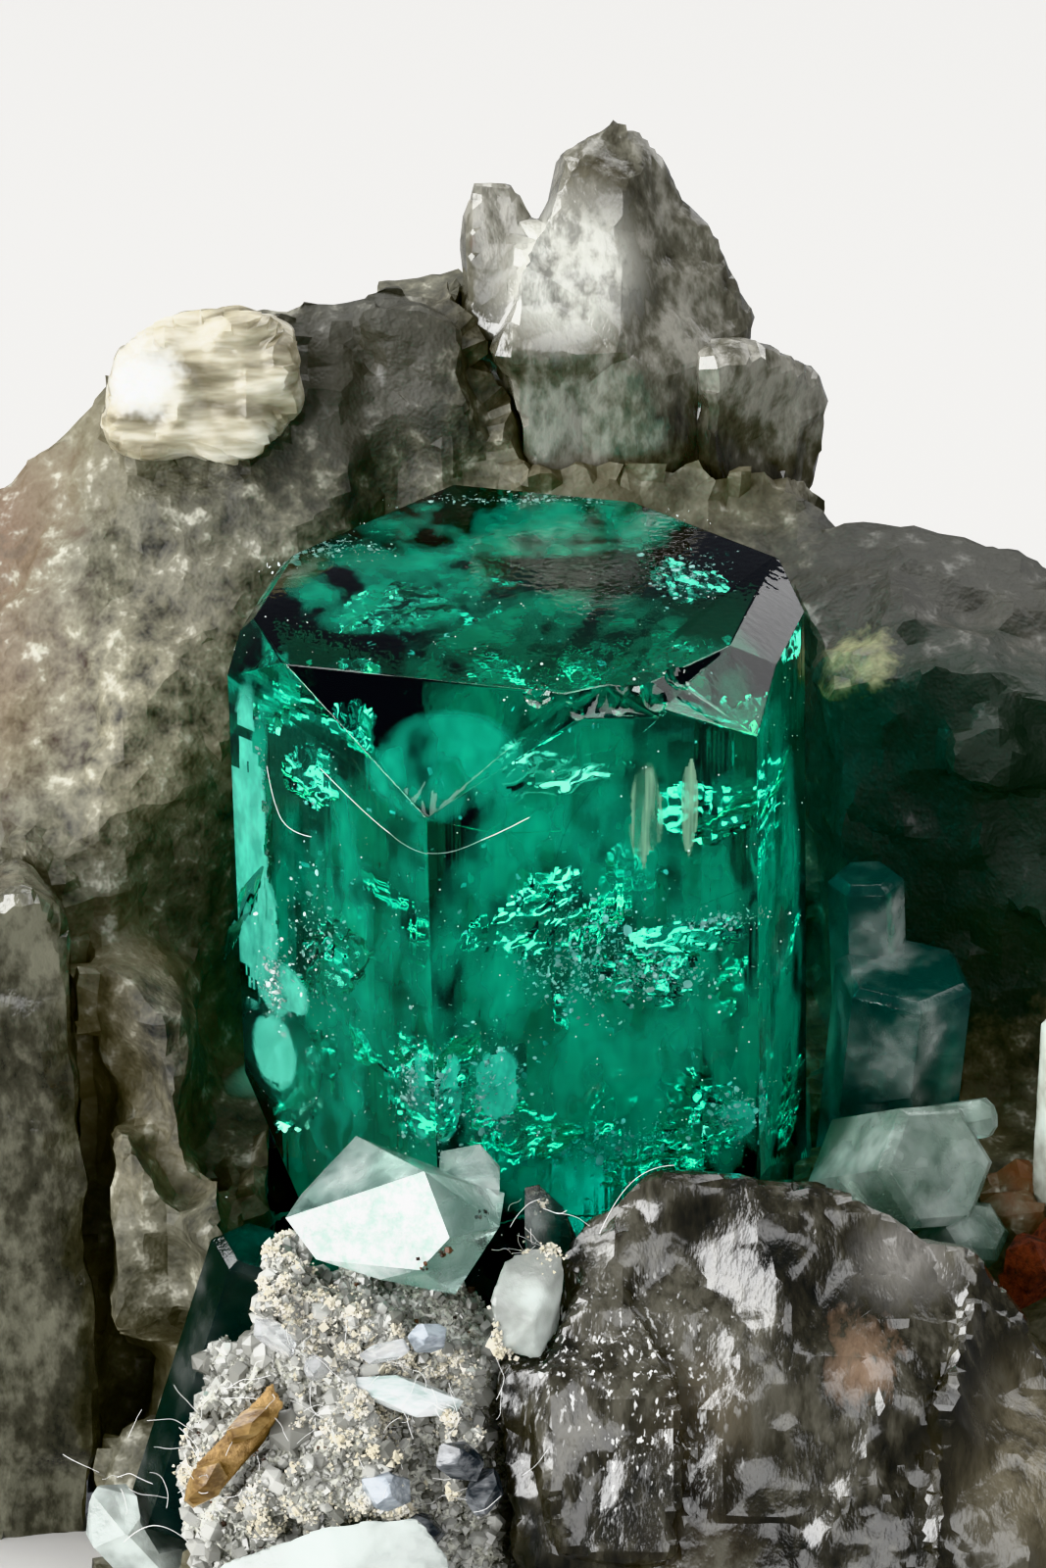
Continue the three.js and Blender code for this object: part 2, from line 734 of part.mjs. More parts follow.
const rightWall = stoneFromCorners([
  [5.4, 8.2, 19.8],
  [7.2, 8.2, 20.4],
  [8.5, 8.2, 20.0],
  [9.6, 8.2, 19.3],
  [11.4, 8.0, 19.4],
  [13.9, 7.8, 18.4],
  [6.3, 4.6, 18.9],
  [6.5, 3.4, 18.4],
  [8.9, 3.0, 19.2],
  [11.1, 2.9, 18.6],
  [13.9, 2.4, 17.6],
  [6.8, 2.7, 13.0],
  [6.9, 2.6, 5.0],
  [10.0, 1.8, 5.0],
  [13.6, 1.2, 4.0],
  [6.2, 12.8, 17.4],
  [11.0, 11.8, 16.4],
  [6.6, 13.4, -0.5],
  [11.8, 11.0, -0.5],
  [13.4, 5.6, -0.5],
  [13.2, 1.2, -0.5],
]);
const baseRock = stoneFromCorners([
  [-8.6, -1.2, -0.5],
  [-5.8, -6.6, -0.5],
  [-5.6, -9.4, -0.5],
  [-2.0, -10.8, -0.5],
  [1.0, -10.8, -0.5],
  [13.0, -4.0, -0.5],
  [13.4, 5.0, -0.5],
  [2.0, 13.4, -0.5],
  [-8.8, 8.0, -0.5],
  [-6.8, -1.2, 5.6],
  [-4.8, -5.4, 7.4],
  [-4.8, -8.0, 6.2],
  [1.2, -8.4, 6.2],
  [6.4, -4.2, 8.4],
  [12.4, -3.6, 8.0],
  [12.8, 2.0, 9.0],
  [8.0, 8.0, 11.0],
  [-4.6, 8.0, 10.6],
  [-7.4, 4.0, 9.6],
]);
const lowShelf = stoneFromCorners([
  [-9.0, -5.6, -0.5],
  [-9.0, -5.4, 0.8],
  [-6.4, -6.4, -0.5],
  [-6.4, -6.2, 2.2],
  [-9.2, -0.6, -0.5],
  [-9.2, -0.6, 2.4],
  [-5.6, -1.0, -0.5],
  [-5.6, -1.0, 5.2],
  [-5.4, -6.0, 3.4],
]);
// The broken crystals that fill the corner between the left hill, the left block and the emerald.
const leftSteps = [
  [
    [-9.2, 0.5, 13.4],
    [-8.5, 0.3, 13.5],
    [-7.6, -0.6, 12.8],
    [-6.9, -0.1, 12.2],
    [-7.0, -1.5, 9.2],
    [-8.9, 0.0, 9.6],
    [-6.6, 0.2, 9.4],
    [-9.3, 3.0, 13.2],
    [-6.7, 3.0, 12.4],
    [-6.6, 2.4, 6.0],
    [-9.2, 2.4, 6.0],
  ],
  [
    [-8.5, -1.5, 10.7],
    [-8.7, -1.6, 9.2],
    [-8.7, -2.4, 7.7],
    [-7.4, -2.3, 9.1],
    [-7.1, -2.4, 8.0],
    [-8.6, -2.2, 5.6],
    [-7.3, -2.2, 5.6],
    [-6.9, 1.0, 8.6],
    [-8.8, 1.0, 9.6],
    [-8.8, 1.0, 3.4],
    [-6.8, 1.0, 3.4],
  ],
  [
    [-7.4, -2.3, 8.9],
    [-6.2, -2.5, 9.8],
    [-6.4, -3.7, 8.9],
    [-7.1, -2.9, 6.8],
    [-6.2, -3.3, 6.2],
    [-7.2, -0.6, 8.8],
    [-6.4, -0.6, 9.4],
    [-7.0, -0.8, 4.6],
    [-5.8, -1.0, 5.0],
  ],
].map(stoneFromCorners);

// Broken ledges round the back and the sides, each sunk by about half in the blocks.
const backLedges = [
  { centre: [-11.6, 10.4, 4.2], size: [2.6, 3.0, 4.4], seed: 51 },
  { centre: [-8.4, 12.4, 9.0], size: [3.4, 2.0, 5.0], seed: 52 },
  { centre: [-5.0, 13.2, 5.0], size: [2.6, 1.9, 4.0], seed: 53 },
  { centre: [-12.4, 7.2, 11.0], size: [1.9, 3.2, 4.6], seed: 54 },
  { centre: [-6.0, 12.2, 16.6], size: [3.0, 2.0, 3.8], seed: 55 },
  { centre: [-12.2, 4.6, 4.0], size: [1.9, 2.8, 3.6], seed: 56 },
  { centre: [-1.2, 13.4, 10.4], size: [2.8, 1.7, 4.6], seed: 57 },
  { centre: [2.6, 13.4, 4.4], size: [3.4, 1.8, 4.0], seed: 58 },
  { centre: [4.6, 12.8, 12.4], size: [3.0, 2.2, 4.4], seed: 59 },
  { centre: [9.6, 11.0, 5.8], size: [3.4, 2.6, 5.0], seed: 60 },
  { centre: [9.4, 10.6, 14.4], size: [3.0, 2.0, 3.6], seed: 61 },
  { centre: [12.4, 6.6, 8.0], size: [1.9, 3.4, 5.2], seed: 62 },
  { centre: [12.8, 3.6, 13.6], size: [1.5, 2.6, 3.6], seed: 63 },
  { centre: [12.4, -0.6, 4.6], size: [1.7, 2.8, 3.8], seed: 64 },
].map(fragment);

// Lumps and stubby quartz crystals on the blocks.
function lumpsOn(stone, count, seed) {
  return surfacePoints(stone, count, seed)
    .filter((point) => point.z > LUMP_LOWEST && Math.hypot(point.x, point.y) > LUMP_NEAREST)
    .map((point, i) => {
      const radius = ROCK_LUMP_SIZE * THREE.MathUtils.lerp(0.5, 1.4, randomFrom(seed * 10 + i)());
      const inset = new THREE.Vector3(...ROCK_MIDDLE).sub(point).setLength(LUMP_SUNK * radius);
      return fragment({
        centre: point.clone().add(inset).toArray(),
        size: [radius * 1.2, radius, radius * 0.9],
        seed: seed * 50 + i,
      });
    });
}

const rockBlocks = [leftHill, backRidge, saddle, rightWall, baseRock, lowShelf, ...leftSteps];
const rockLumps = [
  ...backLedges,
  ...lumpsOn(leftHill, 12, 41),
  ...lumpsOn(backRidge, 8, 42),
  ...lumpsOn(rightWall, 14, 43),
  ...lumpsOn(baseRock, 8, 44),
];
setPiece(
  "matrix",
  brownRock,
  rockBlocks,
  joined([
    ...rockBlocks.map((stone) => solidOf(weathered(stoneShape(stone), ROCK_RELIEF))),
    ...rockLumps.map((stone) => solidOf(stoneShape(stone))),
  ]).intersect(aboveBase),
);

// The part's origin is the middle of its box, on the sawn base.
const box = new THREE.Box3().setFromObject(specimen);
const middle = box.getCenter(new THREE.Vector3());
specimen.position.set(-middle.x, -middle.y, -box.min.z);

export default specimen;
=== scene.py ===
import math

import bpy
import numpy as np
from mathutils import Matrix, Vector, noise
from mathutils.bvhtree import BVHTree


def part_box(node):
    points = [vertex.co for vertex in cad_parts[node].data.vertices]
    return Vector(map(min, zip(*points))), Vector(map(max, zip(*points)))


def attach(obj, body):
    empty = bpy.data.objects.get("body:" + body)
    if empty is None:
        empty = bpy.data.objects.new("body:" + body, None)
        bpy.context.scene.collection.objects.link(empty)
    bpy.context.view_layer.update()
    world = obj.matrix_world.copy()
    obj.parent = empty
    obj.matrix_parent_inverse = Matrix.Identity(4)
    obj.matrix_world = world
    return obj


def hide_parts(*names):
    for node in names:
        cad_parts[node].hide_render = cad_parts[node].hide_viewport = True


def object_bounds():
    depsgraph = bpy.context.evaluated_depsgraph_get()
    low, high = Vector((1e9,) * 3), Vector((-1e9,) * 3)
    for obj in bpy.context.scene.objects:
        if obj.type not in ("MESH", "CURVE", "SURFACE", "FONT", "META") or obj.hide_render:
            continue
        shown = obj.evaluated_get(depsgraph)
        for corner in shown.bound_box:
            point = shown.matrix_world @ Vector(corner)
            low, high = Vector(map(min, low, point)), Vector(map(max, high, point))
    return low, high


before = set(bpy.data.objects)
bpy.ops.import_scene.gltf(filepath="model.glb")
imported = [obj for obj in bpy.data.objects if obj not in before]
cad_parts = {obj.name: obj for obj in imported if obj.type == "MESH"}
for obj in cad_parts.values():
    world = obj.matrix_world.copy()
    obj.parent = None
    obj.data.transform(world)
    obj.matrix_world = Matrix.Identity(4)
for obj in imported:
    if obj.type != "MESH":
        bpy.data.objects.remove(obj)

cad_low, cad_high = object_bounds()
bpy.ops.object.select_all(action="DESELECT")

# The rock that carries everything: broken brown grey quartz rock, fused in one mass and sawn flat below.
# It is remeshed finely, broken into small facets, and drawn in round the feet of the crystals that grow
# from it.
MM = 0.001
ROCK_GRAIN = 0.24 * MM
ROCK_KEPT = 0.55
GAP_CLOSED = 0.36 * MM
GAP_REACH = 0.55 * MM

emerald_low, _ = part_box("emerald_crystal")
EMERALD_FRONT = 5.8
EMERALD_LEFT = 5.933
EMERALD_FOOT = 6.5
axis_x = emerald_low.x + EMERALD_LEFT * MM
axis_y = emerald_low.y + EMERALD_FRONT * MM
base_z = emerald_low.z - EMERALD_FOOT * MM


def spot(right, back, up):
    """A place given in millimetres from the emerald's axis and the sawn base."""
    return Vector((axis_x + right * MM, axis_y + back * MM, base_z + up * MM))


def take(piece):
    bpy.ops.object.select_all(action="DESELECT")
    piece.select_set(True)
    bpy.context.view_layer.objects.active = piece


def grown_from(node, name):
    """A new piece with the shape of a CAD node, its loose triangles merged."""
    piece = bpy.data.objects.new(name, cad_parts[node].data.copy())
    bpy.context.collection.objects.link(piece)
    piece.data.materials.clear()
    take(piece)
    bpy.ops.object.mode_set(mode="EDIT")
    bpy.ops.mesh.select_all(action="SELECT")
    bpy.ops.mesh.remove_doubles(threshold=0.002 * MM)
    bpy.ops.object.mode_set(mode="OBJECT")
    return piece


def worked(piece, kind, **settings):
    """The piece after one modifier is added, set and applied."""
    take(piece)
    modifier = piece.modifiers.new(kind.lower(), kind)
    for key, value in settings.items():
        setattr(modifier, key, value)
    bpy.ops.object.modifier_apply(modifier=modifier.name)
    return piece


def broken(piece, pattern, size, depth):
    """Sinks and raises the surface by a solid pattern whose features have this size. CLOUDS are lumps, FACETS
    are flat breaks and CRACKS are rounded grains with sharp valleys between them."""
    kind = "CLOUDS" if pattern == "CLOUDS" else "VORONOI"
    texture = bpy.data.textures.new(f"{piece.name} {pattern.lower()}", kind)
    texture.noise_scale = size
    if pattern == "FACETS":
        texture.weight_1, texture.weight_2, texture.distance_metric = 1, 0, "CHEBYCHEV"
    elif pattern == "CRACKS":
        texture.weight_1, texture.weight_2, texture.distance_metric = -1, 1, "DISTANCE"
    else:
        texture.noise_depth = 3
    worked(piece, "DISPLACE", texture=texture, texture_coords="LOCAL", strength=depth, mid_level=0.5)


def points_of(piece):
    points = np.empty(len(piece.data.vertices) * 3)
    piece.data.vertices.foreach_get("co", points)
    return points.reshape(-1, 3)


def set_points(piece, points):
    piece.data.vertices.foreach_set("co", points.ravel())
    piece.data.update()


def tree_of(mesh):
    """A search tree for the nearest place on a mesh."""
    return BVHTree.FromPolygons([v.co for v in mesh.vertices], [p.vertices for p in mesh.polygons])


def close_gaps(piece, *nodes):
    """Draws the piece's surface up to the crystals that stand in it."""
    trees = [tree_of(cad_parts[node].data) for node in nodes]
    normals = np.empty(len(piece.data.vertices) * 3)
    piece.data.vertices.foreach_get("normal", normals)
    points = points_of(piece)
    for point, normal in zip(points, normals.reshape(-1, 3)):
        if any(tree.find_nearest(point, GAP_REACH)[0] for tree in trees):
            point += normal * GAP_CLOSED
    set_points(piece, points)


def kept_clear(piece, node, gap):
    """Keeps the piece's surface this far outside a CAD node."""
    tree = tree_of(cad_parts[node].data)
    points = points_of(piece)
    for point in points:
        nearest, normal, _, _ = tree.find_nearest(point, GAP_REACH)
        if nearest and (Vector(point) - nearest).dot(normal) < gap:
            point[:] = nearest + normal * gap
    set_points(piece, points)


BOX_MARGIN = 0.02 * MM
FLAT_BELOW = 0.16 * MM


def in_box(piece):
    """Keeps the piece inside the CAD model's box and flat on its base."""
    low = np.array(cad_low) + BOX_MARGIN
    low[2] = cad_low.z
    points = np.clip(points_of(piece), low, np.array(cad_high) - BOX_MARGIN)
    points[points[:, 2] < base_z + FLAT_BELOW, 2] = base_z
    set_points(piece, points)


class Socket:
    """A shader socket that can be used in sums."""

    def __init__(self, finish, port):
        self.finish, self.port = finish, port

    def out(self, name):
        return Socket(self.finish, self.port.node.outputs[name])

    def math(self, operation, *others, clamp=False):
        return self.finish.node("Math", {"operation": operation, "use_clamp": clamp}, self, *others)

    def clamped(self):
        return self.math("ADD", 0, clamp=True)

    def between(self, low, high):
        """0 below low, 1 above high, and even between them."""
        return ((self - low) / (high - low)).clamped()

    def times(self, colour):
        """A colour, as bright as this value says."""
        return self.finish.blend(self, (0, 0, 0), colour)

    def __add__(self, other):
        return self.math("ADD", other)

    def __sub__(self, other):
        return self.math("SUBTRACT", other)

    def __rsub__(self, other):
        return self * -1 + other

    def __mul__(self, other):
        return self.math("MULTIPLY", other)

    def __truediv__(self, other):
        return self.math("DIVIDE", other)

    __radd__ = __add__
    __rmul__ = __mul__


class Finish:
    """A material in the making."""

    def __init__(self, name):
        self.material = bpy.data.materials.new(name)
        self.material.use_nodes = True
        self.tree = self.material.node_tree
        self.tree.nodes.clear()
        self.output = self.tree.nodes.new("ShaderNodeOutputMaterial")
        self.place = self.node("TexCoord").out("Object")
        self.ragged = None

    def node(self, kind, settings=None, *values, **named):
        """Any node: its settings are set first, and then the values or links of its sockets."""
        node = self.tree.nodes.new("ShaderNode" + kind)
        settings = dict(settings or {})
        for place, (at, colour) in enumerate(settings.pop("stops", [])):
            ramp = node.color_ramp.elements
            stop = ramp[place] if place < len(ramp) else ramp.new(at)
            stop.position, stop.color = at, (*colour, 1)
        for key, value in settings.items():
            setattr(node, key, value)
        inputs = list(zip(node.inputs, values))
        inputs += [(node.inputs[key.replace("_", " ")], value) for key, value in named.items()]
        for port, value in inputs:
            if isinstance(value, Socket):
                self.tree.links.new(value.port, port)
            else:
                port.default_value = value
        return Socket(self, node.outputs[0]) if node.outputs else None

    def noise(self, size, detail=4, roughness=0.55, place=None):
        """Noise from 0 to 1 whose features have this size in metres."""
        noise_node = self.node(
            "TexNoise", None, Vector=place or self.place, Scale=1 / size, Detail=detail, Roughness=roughness
        )
        return noise_node.out("Fac")

    def moved(self, **values):
        """Object coordinates, turned, moved or stretched."""
        return self.node("Mapping", None, Vector=self.place, **values)

    def blend(self, factor, first, second, how="MIX"):
        mix = self.node("Mix", {"data_type": "RGBA", "blend_type": how})
        for port, value in zip((0, 6, 7), (factor, first, second)):
            if isinstance(value, Socket):
                self.tree.links.new(value.port, mix.port.node.inputs[port])
            else:
                mix.port.node.inputs[port].default_value = value if port == 0 else (*value, 1)
        return Socket(self, mix.port.node.outputs[2])

    def near(self, place, inner, outer, ragged=0.0):
        """1 within the inner reach of a place and 0 beyond the outer one, in millimetres. The edge is ragged
        where it is asked for, by the finish's own noise."""
        away = self.node("VectorMath", {"operation": "DISTANCE"}, self.place, tuple(spot(*place)))
        away = away.out("Value")
        if ragged:
            self.ragged = self.ragged or self.noise(0.9 * MM, 3, 0.65)
            away = away + (self.ragged - 0.5) * 2.4 * ragged * MM
        return 1 - away.between(inner * MM, outer * MM)

    def tint(self, name="tint"):
        """The chance value that each copy of a scattered shape carries on its points."""
        return self.node("Attribute", {"attribute_name": name}).out("Fac")

    def bump(self, height, depth):
        """Relief of this depth in metres."""
        return self.node("Bump", None, Height=height, Distance=depth, Strength=1.0)

    def surface(self, shader, port="Surface"):
        self.tree.links.new(shader.port, self.output.inputs[port])
        return self.material


def finished(piece, material, slot, *replaced, smooth=None):
    """Gives a piece its finish and its place in the frame."""
    piece.data.materials.clear()
    piece.data.materials.append(material)
    take(piece)
    if smooth is None:
        bpy.ops.object.shade_flat()
    else:
        bpy.ops.object.shade_smooth_by_angle(angle=math.radians(smooth))
    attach(piece, "root")
    if replaced:
        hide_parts(*replaced)
    return piece


def brown_rock():
    """Smoky brown grey quartz rock, mottled, with frosted bits, glittering facets and rust at the left,
    painted shade high at the right, on a saddle and on the right wall, and painted mint glow behind the
    emerald.
    """
    paint = Finish("brown grey rock")
    broad = paint.noise(4.5 * MM, 1, 0.6)
    fine = paint.noise(0.6 * MM, 3, 0.68)
    paint.ragged = (fine - 0.5) * 1.4 + 0.5
    colour = paint.node(
        "ValToRGB",
        {"stops": [
            (0.32, (0.02, 0.019, 0.014)), (0.46, (0.08, 0.077, 0.054)),
            (0.56, (0.15, 0.144, 0.104)), (0.68, (0.32, 0.31, 0.24)),
        ]},
        broad * 0.4 + fine * 0.6,
    )
    colour = paint.blend(broad.between(0.5, 0.65) * 0.5, colour, (0.13, 0.11, 0.06))
    hill = paint.near((-8.6, 3.5, 18.5), 1.5, 5.0, 1.2) * 0.55
    colour = paint.blend(hill, colour, fine.between(0.3, 0.62).times((0.3, 0.275, 0.185)))
    rust = paint.near((-13.5, 6.0, 17.5), 1.5, 4.6, 1.6) + paint.near((-11.8, 8.0, 20.6), 1.0, 2.6, 1.2)
    rust = rust.clamped() * (0.4 + fine.between(0.4, 0.6) * 0.4)
    colour = paint.blend(rust, colour, (0.13, 0.066, 0.034))
    strip = paint.near((11.6, -2.0, 10.6), 0.6, 2.6, 0.6) * 0.8
    colour = paint.blend(strip, colour, (0.2, 0.07, 0.025))
    colour = paint.blend(fine.between(0.6, 0.7) * 0.45, colour, (0.5, 0.49, 0.41))
    # Painted shade: two patches high on the rock, at the right and between the left hill and the peak, are
    # painted near black.
    painted_top_shade = paint.near((11.5, 6.0, 18.0), 5.6, 8.0, 1.0) + paint.near((-3.5, 8.5, 23.5), 2.0, 4.5, 1.5)
    colour = paint.blend(painted_top_shade.clamped() * 0.85, colour, (0.03, 0.03, 0.024))
    # Painted shade: the right wall's face beside the emerald is painted dark, tinted green.
    shade = paint.near((9.0, 1.6, 15.0), 4.2, 5.6, 1.0) * 0.93
    colour = paint.blend(shade, colour, (0.012, 0.022, 0.013))
    step = paint.near((-7.0, -2.5, 12.4), 1.6, 3.4, 1.0) * 0.85
    colour = paint.blend(step, colour, (0.03, 0.033, 0.037))
    crust = paint.near((-7.2, -2.4, 12.6), 0.5, 1.9, 0.8) * fine.between(0.5, 0.6)
    colour = paint.blend(crust, colour, (0.62, 0.64, 0.66))
    bright = paint.near((6.7, 3.6, 19.3), 0.3, 1.5, 0.6) * 0.8
    colour = paint.blend(bright, colour, (0.58, 0.56, 0.3))
    # Painted glow: the rock close behind the emerald is painted pale mint, as the green light seen there
    # through the stone, and its relief and coat are left off there.
    flat = paint.moved(Location=(-axis_x, -axis_y, 0), Scale=(1, 1, 0))
    from_axis = paint.node("VectorMath", {"operation": "LENGTH"}, flat).out("Value")
    behind = paint.node("SeparateXYZ", None, paint.place).out("Y")
    behind = behind.between(axis_y + 2.2 * MM, axis_y + 3.2 * MM)
    painted_glow_pocket = (1 - from_axis.between(6.5 * MM, 6.9 * MM)) * behind
    colour = paint.blend(painted_glow_pocket, colour, (0.35, 0.86, 0.62))
    glint = fine.between(0.55, 0.7)
    bare = 1 - painted_glow_pocket
    relief = paint.bump(fine * bare, 0.1 * MM)
    skin = paint.node(
        "BsdfPrincipled", None, Base_Color=colour, Roughness=0.6 - glint * 0.2,
        Coat_Weight=glint * bare * 0.15, Coat_Roughness=0.15, Normal=relief,
    )
    return paint.surface(skin)


rock = grown_from("matrix", "rock")
worked(rock, "REMESH", mode="VOXEL", voxel_size=ROCK_GRAIN)
close_gaps(rock, *(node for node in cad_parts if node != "matrix"))
broken(rock, "CLOUDS", 2.4 * MM, 0.4 * MM)
broken(rock, "FACETS", 2.0 * MM, 0.7 * MM)
broken(rock, "FACETS", 0.8 * MM, 0.22 * MM)
broken(rock, "CLOUDS", 0.5 * MM, 0.1 * MM)
worked(rock, "DECIMATE", ratio=ROCK_KEPT)
kept_clear(rock, "emerald_crystal", 0.08 * MM)
in_box(rock)
finished(rock, brown_rock(), "brown_rock", "matrix", smooth=20)


# The smoky quartz that is grown into the rock: the block at the front right, the tall block at the left and
# the broken group that stands highest. They are dark, half clear and broken into steps whose faces glint.
SMOKY_GRAIN = 0.17 * MM
SMOKY_SWELL = 0.12 * MM


def smoky_quartz(name, shades, streak, *patches, painted_glints=((0, 0, 0), 0.1, 0.2)):
    """Dark glassy quartz. Its inner streaks run along the stretch, each patch is a place with a shade of its
    own, some of them painted light, and in one place white glints are painted into the colour, in streaks as
    of cracks under the surface."""
    paint = Finish(name)
    drawn = paint.moved(Scale=streak)
    cloud = (paint.noise(2.4 * MM, 1, 0.55) + paint.noise(0.34 * MM, 3, 0.62, place=drawn)) * 0.5
    paint.ragged = cloud
    dark, middle, light = shades
    colour = paint.node("ValToRGB", {"stops": [(0.38, dark), (0.5, middle), (0.63, light)]}, cloud)
    for place, inner, outer, shade in patches:
        mottled = paint.near(place, inner, outer, 1.6) * (0.3 + cloud.between(0.42, 0.58) * 0.7)
        colour = paint.blend(mottled, colour, shade)
    # Painted glints: thin white streaks painted into the colour in one place.
    slivers = paint.moved(Rotation=(0.4, 0.5, 0.3), Scale=(1, 1, 0.25))
    cracks = paint.noise(0.13 * MM, 2, 0.6, place=slivers).between(0.6, 0.68)
    cracks = cracks * paint.near(*painted_glints, 1.6) * 0.8
    colour = paint.blend(cracks, colour, (0.95, 0.95, 0.93))
    relief = paint.bump(cloud, 0.1 * MM)
    skin = paint.node(
        "BsdfPrincipled", None, Base_Color=colour, Roughness=0.24, Coat_Weight=0.6, Coat_Roughness=0.06,
        IOR=1.54, Normal=relief,
    )
    return paint.surface(skin)


def smoky_piece(node, name, breaks, kept):
    piece = grown_from(node, name)
    worked(piece, "REMESH", mode="VOXEL", voxel_size=SMOKY_GRAIN)
    worked(piece, "DISPLACE", strength=SMOKY_SWELL, mid_level=0)
    for pattern, size, depth in breaks:
        broken(piece, pattern, size * MM, depth * MM)
    worked(piece, "DECIMATE", ratio=kept)
    in_box(piece)
    return piece


front_block = smoky_piece(
    "smoky_quartz_front", "smoky_block_front",
    [("CLOUDS", 3.0, 0.5), ("FACETS", 2.8, 1.0), ("FACETS", 1.1, 0.2), ("CLOUDS", 0.5, 0.08)], 0.5,
)
front_quartz = smoky_quartz(
    "smoky quartz front",
    [(0.009, 0.009, 0.007), (0.028, 0.026, 0.019), (0.085, 0.08, 0.062)],
    (1, 1, 0.3),
    ((3.8, -8.8, 8.0), 0.8, 1.6, (0.09, 0.078, 0.055)),
    ((3.4, -9.4, 4.9), 0.9, 2.0, (0.045, 0.035, 0.024)),
    ((7.8, -7.0, 10.5), 0.5, 1.4, (0.22, 0.21, 0.19)),
    ((10.6, -8.0, 6.0), 1.6, 3.0, (0.16, 0.14, 0.095)),
    # A painted reflection: the small orange patch below.
    ((6.9, -8.4, 8.8), 0.2, 0.9, (0.45, 0.3, 0.2)),
    # Painted glints: white glints painted into the colour at the block's left.
    painted_glints=((2.2, -8.5, 8.4), 1.4, 2.7),
)
finished(front_block, front_quartz, "smoky_quartz", "smoky_quartz_front", smooth=18)

left_block = smoky_piece(
    "smoky_quartz_left", "smoky_block_left",
    [("CLOUDS", 3.0, 0.5), ("FACETS", 2.6, 0.5), ("FACETS", 0.8, 0.16)], 0.4,
)
left_quartz = smoky_quartz(
    "smoky quartz left",
    [(0.02, 0.02, 0.014), (0.055, 0.053, 0.038), (0.14, 0.137, 0.1)],
    (1, 1, 0.6),
)
finished(left_block, left_quartz, "smoky_quartz", "smoky_quartz_left", smooth=18)

peak = smoky_piece(
    "quartz_peak", "quartz_peak_group",
    [("CLOUDS", 2.4, 0.4), ("FACETS", 2.6, 1.0), ("CLOUDS", 0.5, 0.08)], 0.4,
)
peak_quartz = smoky_quartz(
    "peak quartz",
    [(0.04, 0.037, 0.027), (0.11, 0.105, 0.08), (0.28, 0.27, 0.23)],
    (1, 1, 0.5),
    # A painted highlight: the near-white patch below, on the peak's bright face.
    ((0.95, 9.6, 25.3), 1.1, 1.9, (0.62, 0.62, 0.56)),
    ((1.2, 9.0, 28.0), 0.8, 1.8, (0.13, 0.11, 0.065)),
    ((-0.9, 9.5, 26.4), 0.5, 1.1, (0.3, 0.16, 0.13)),
)
finished(peak, peak_quartz, "smoky_quartz", "quartz_peak", smooth=18)


# The cream calcite band that lies along the left hill. It is half clear, banded along its length, and rounded
# by wear. It is swollen a little from its solid and broken into worn facets.
CALCITE_GRAIN = 0.12 * MM
CALCITE_SWELL = 0.45 * MM


def cream_calcite():
    paint = Finish("cream calcite")
    bands = paint.noise(0.5 * MM, 3, place=paint.moved(Rotation=(0, 0.3, 0), Scale=(0.2, 1, 1)))
    colour = paint.node(
        "ValToRGB",
        {"stops": [(0.35, (0.16, 0.14, 0.09)), (0.5, (0.36, 0.33, 0.24)), (0.65, (0.62, 0.59, 0.5))]}, bands,
    )
    # A painted highlight: a white spot at the band's left end.
    colour = paint.blend(paint.near((-8.0, 8.0, 23.4), 0.5, 1.0, 0.4), colour, (0.95, 0.95, 0.92))
    skin = paint.node(
        "BsdfPrincipled", None, Base_Color=colour, Roughness=0.3, Subsurface_Weight=0.4,
        Subsurface_Radius=(1, 0.85, 0.6), Subsurface_Scale=0.7 * MM, Normal=paint.bump(bands, 0.08 * MM),
    )
    return paint.surface(skin)


band = grown_from("calcite_band_back", "calcite_band")
worked(band, "REMESH", mode="VOXEL", voxel_size=CALCITE_GRAIN)
worked(band, "DISPLACE", strength=CALCITE_SWELL, mid_level=0)
broken(band, "FACETS", 1.1 * MM, 0.5 * MM)
broken(band, "CLOUDS", 0.5 * MM, 0.12 * MM)
in_box(band)
finished(band, cream_calcite(), "calcite", "calcite_band_back", smooth=25)


# The emerald: one clear green beryl prism, chipped at its front rim and frosted low on its left side.
# Its faces carry fine upright growth lines. Inside are healed cracks, feathers, growth tubes and glittering
# flakes, each a thin closed skin that shows through the clear stone.
EMERALD_IOR = 1.58
EMERALD_TINT = (0.03, 0.885, 0.82)
EMERALD_DENSITY = 300
# Each shell-shaped chip: its middle and its half sizes, in millimetres.
CHIPS = [
    ((1.1, -5.25, 22.15), (0.75, 0.75, 0.62)),
    ((2.1, -4.75, 22.25), (0.7, 0.55, 0.7)),
    ((2.9, -4.35, 22.2), (0.5, 0.5, 0.75)),
    ((0.3, -4.75, 22.3), (0.55, 0.6, 0.42)),
    ((3.3, -3.75, 22.35), (0.45, 0.7, 0.5)),
    ((1.7, -5.35, 21.2), (0.55, 0.5, 0.7)),
]
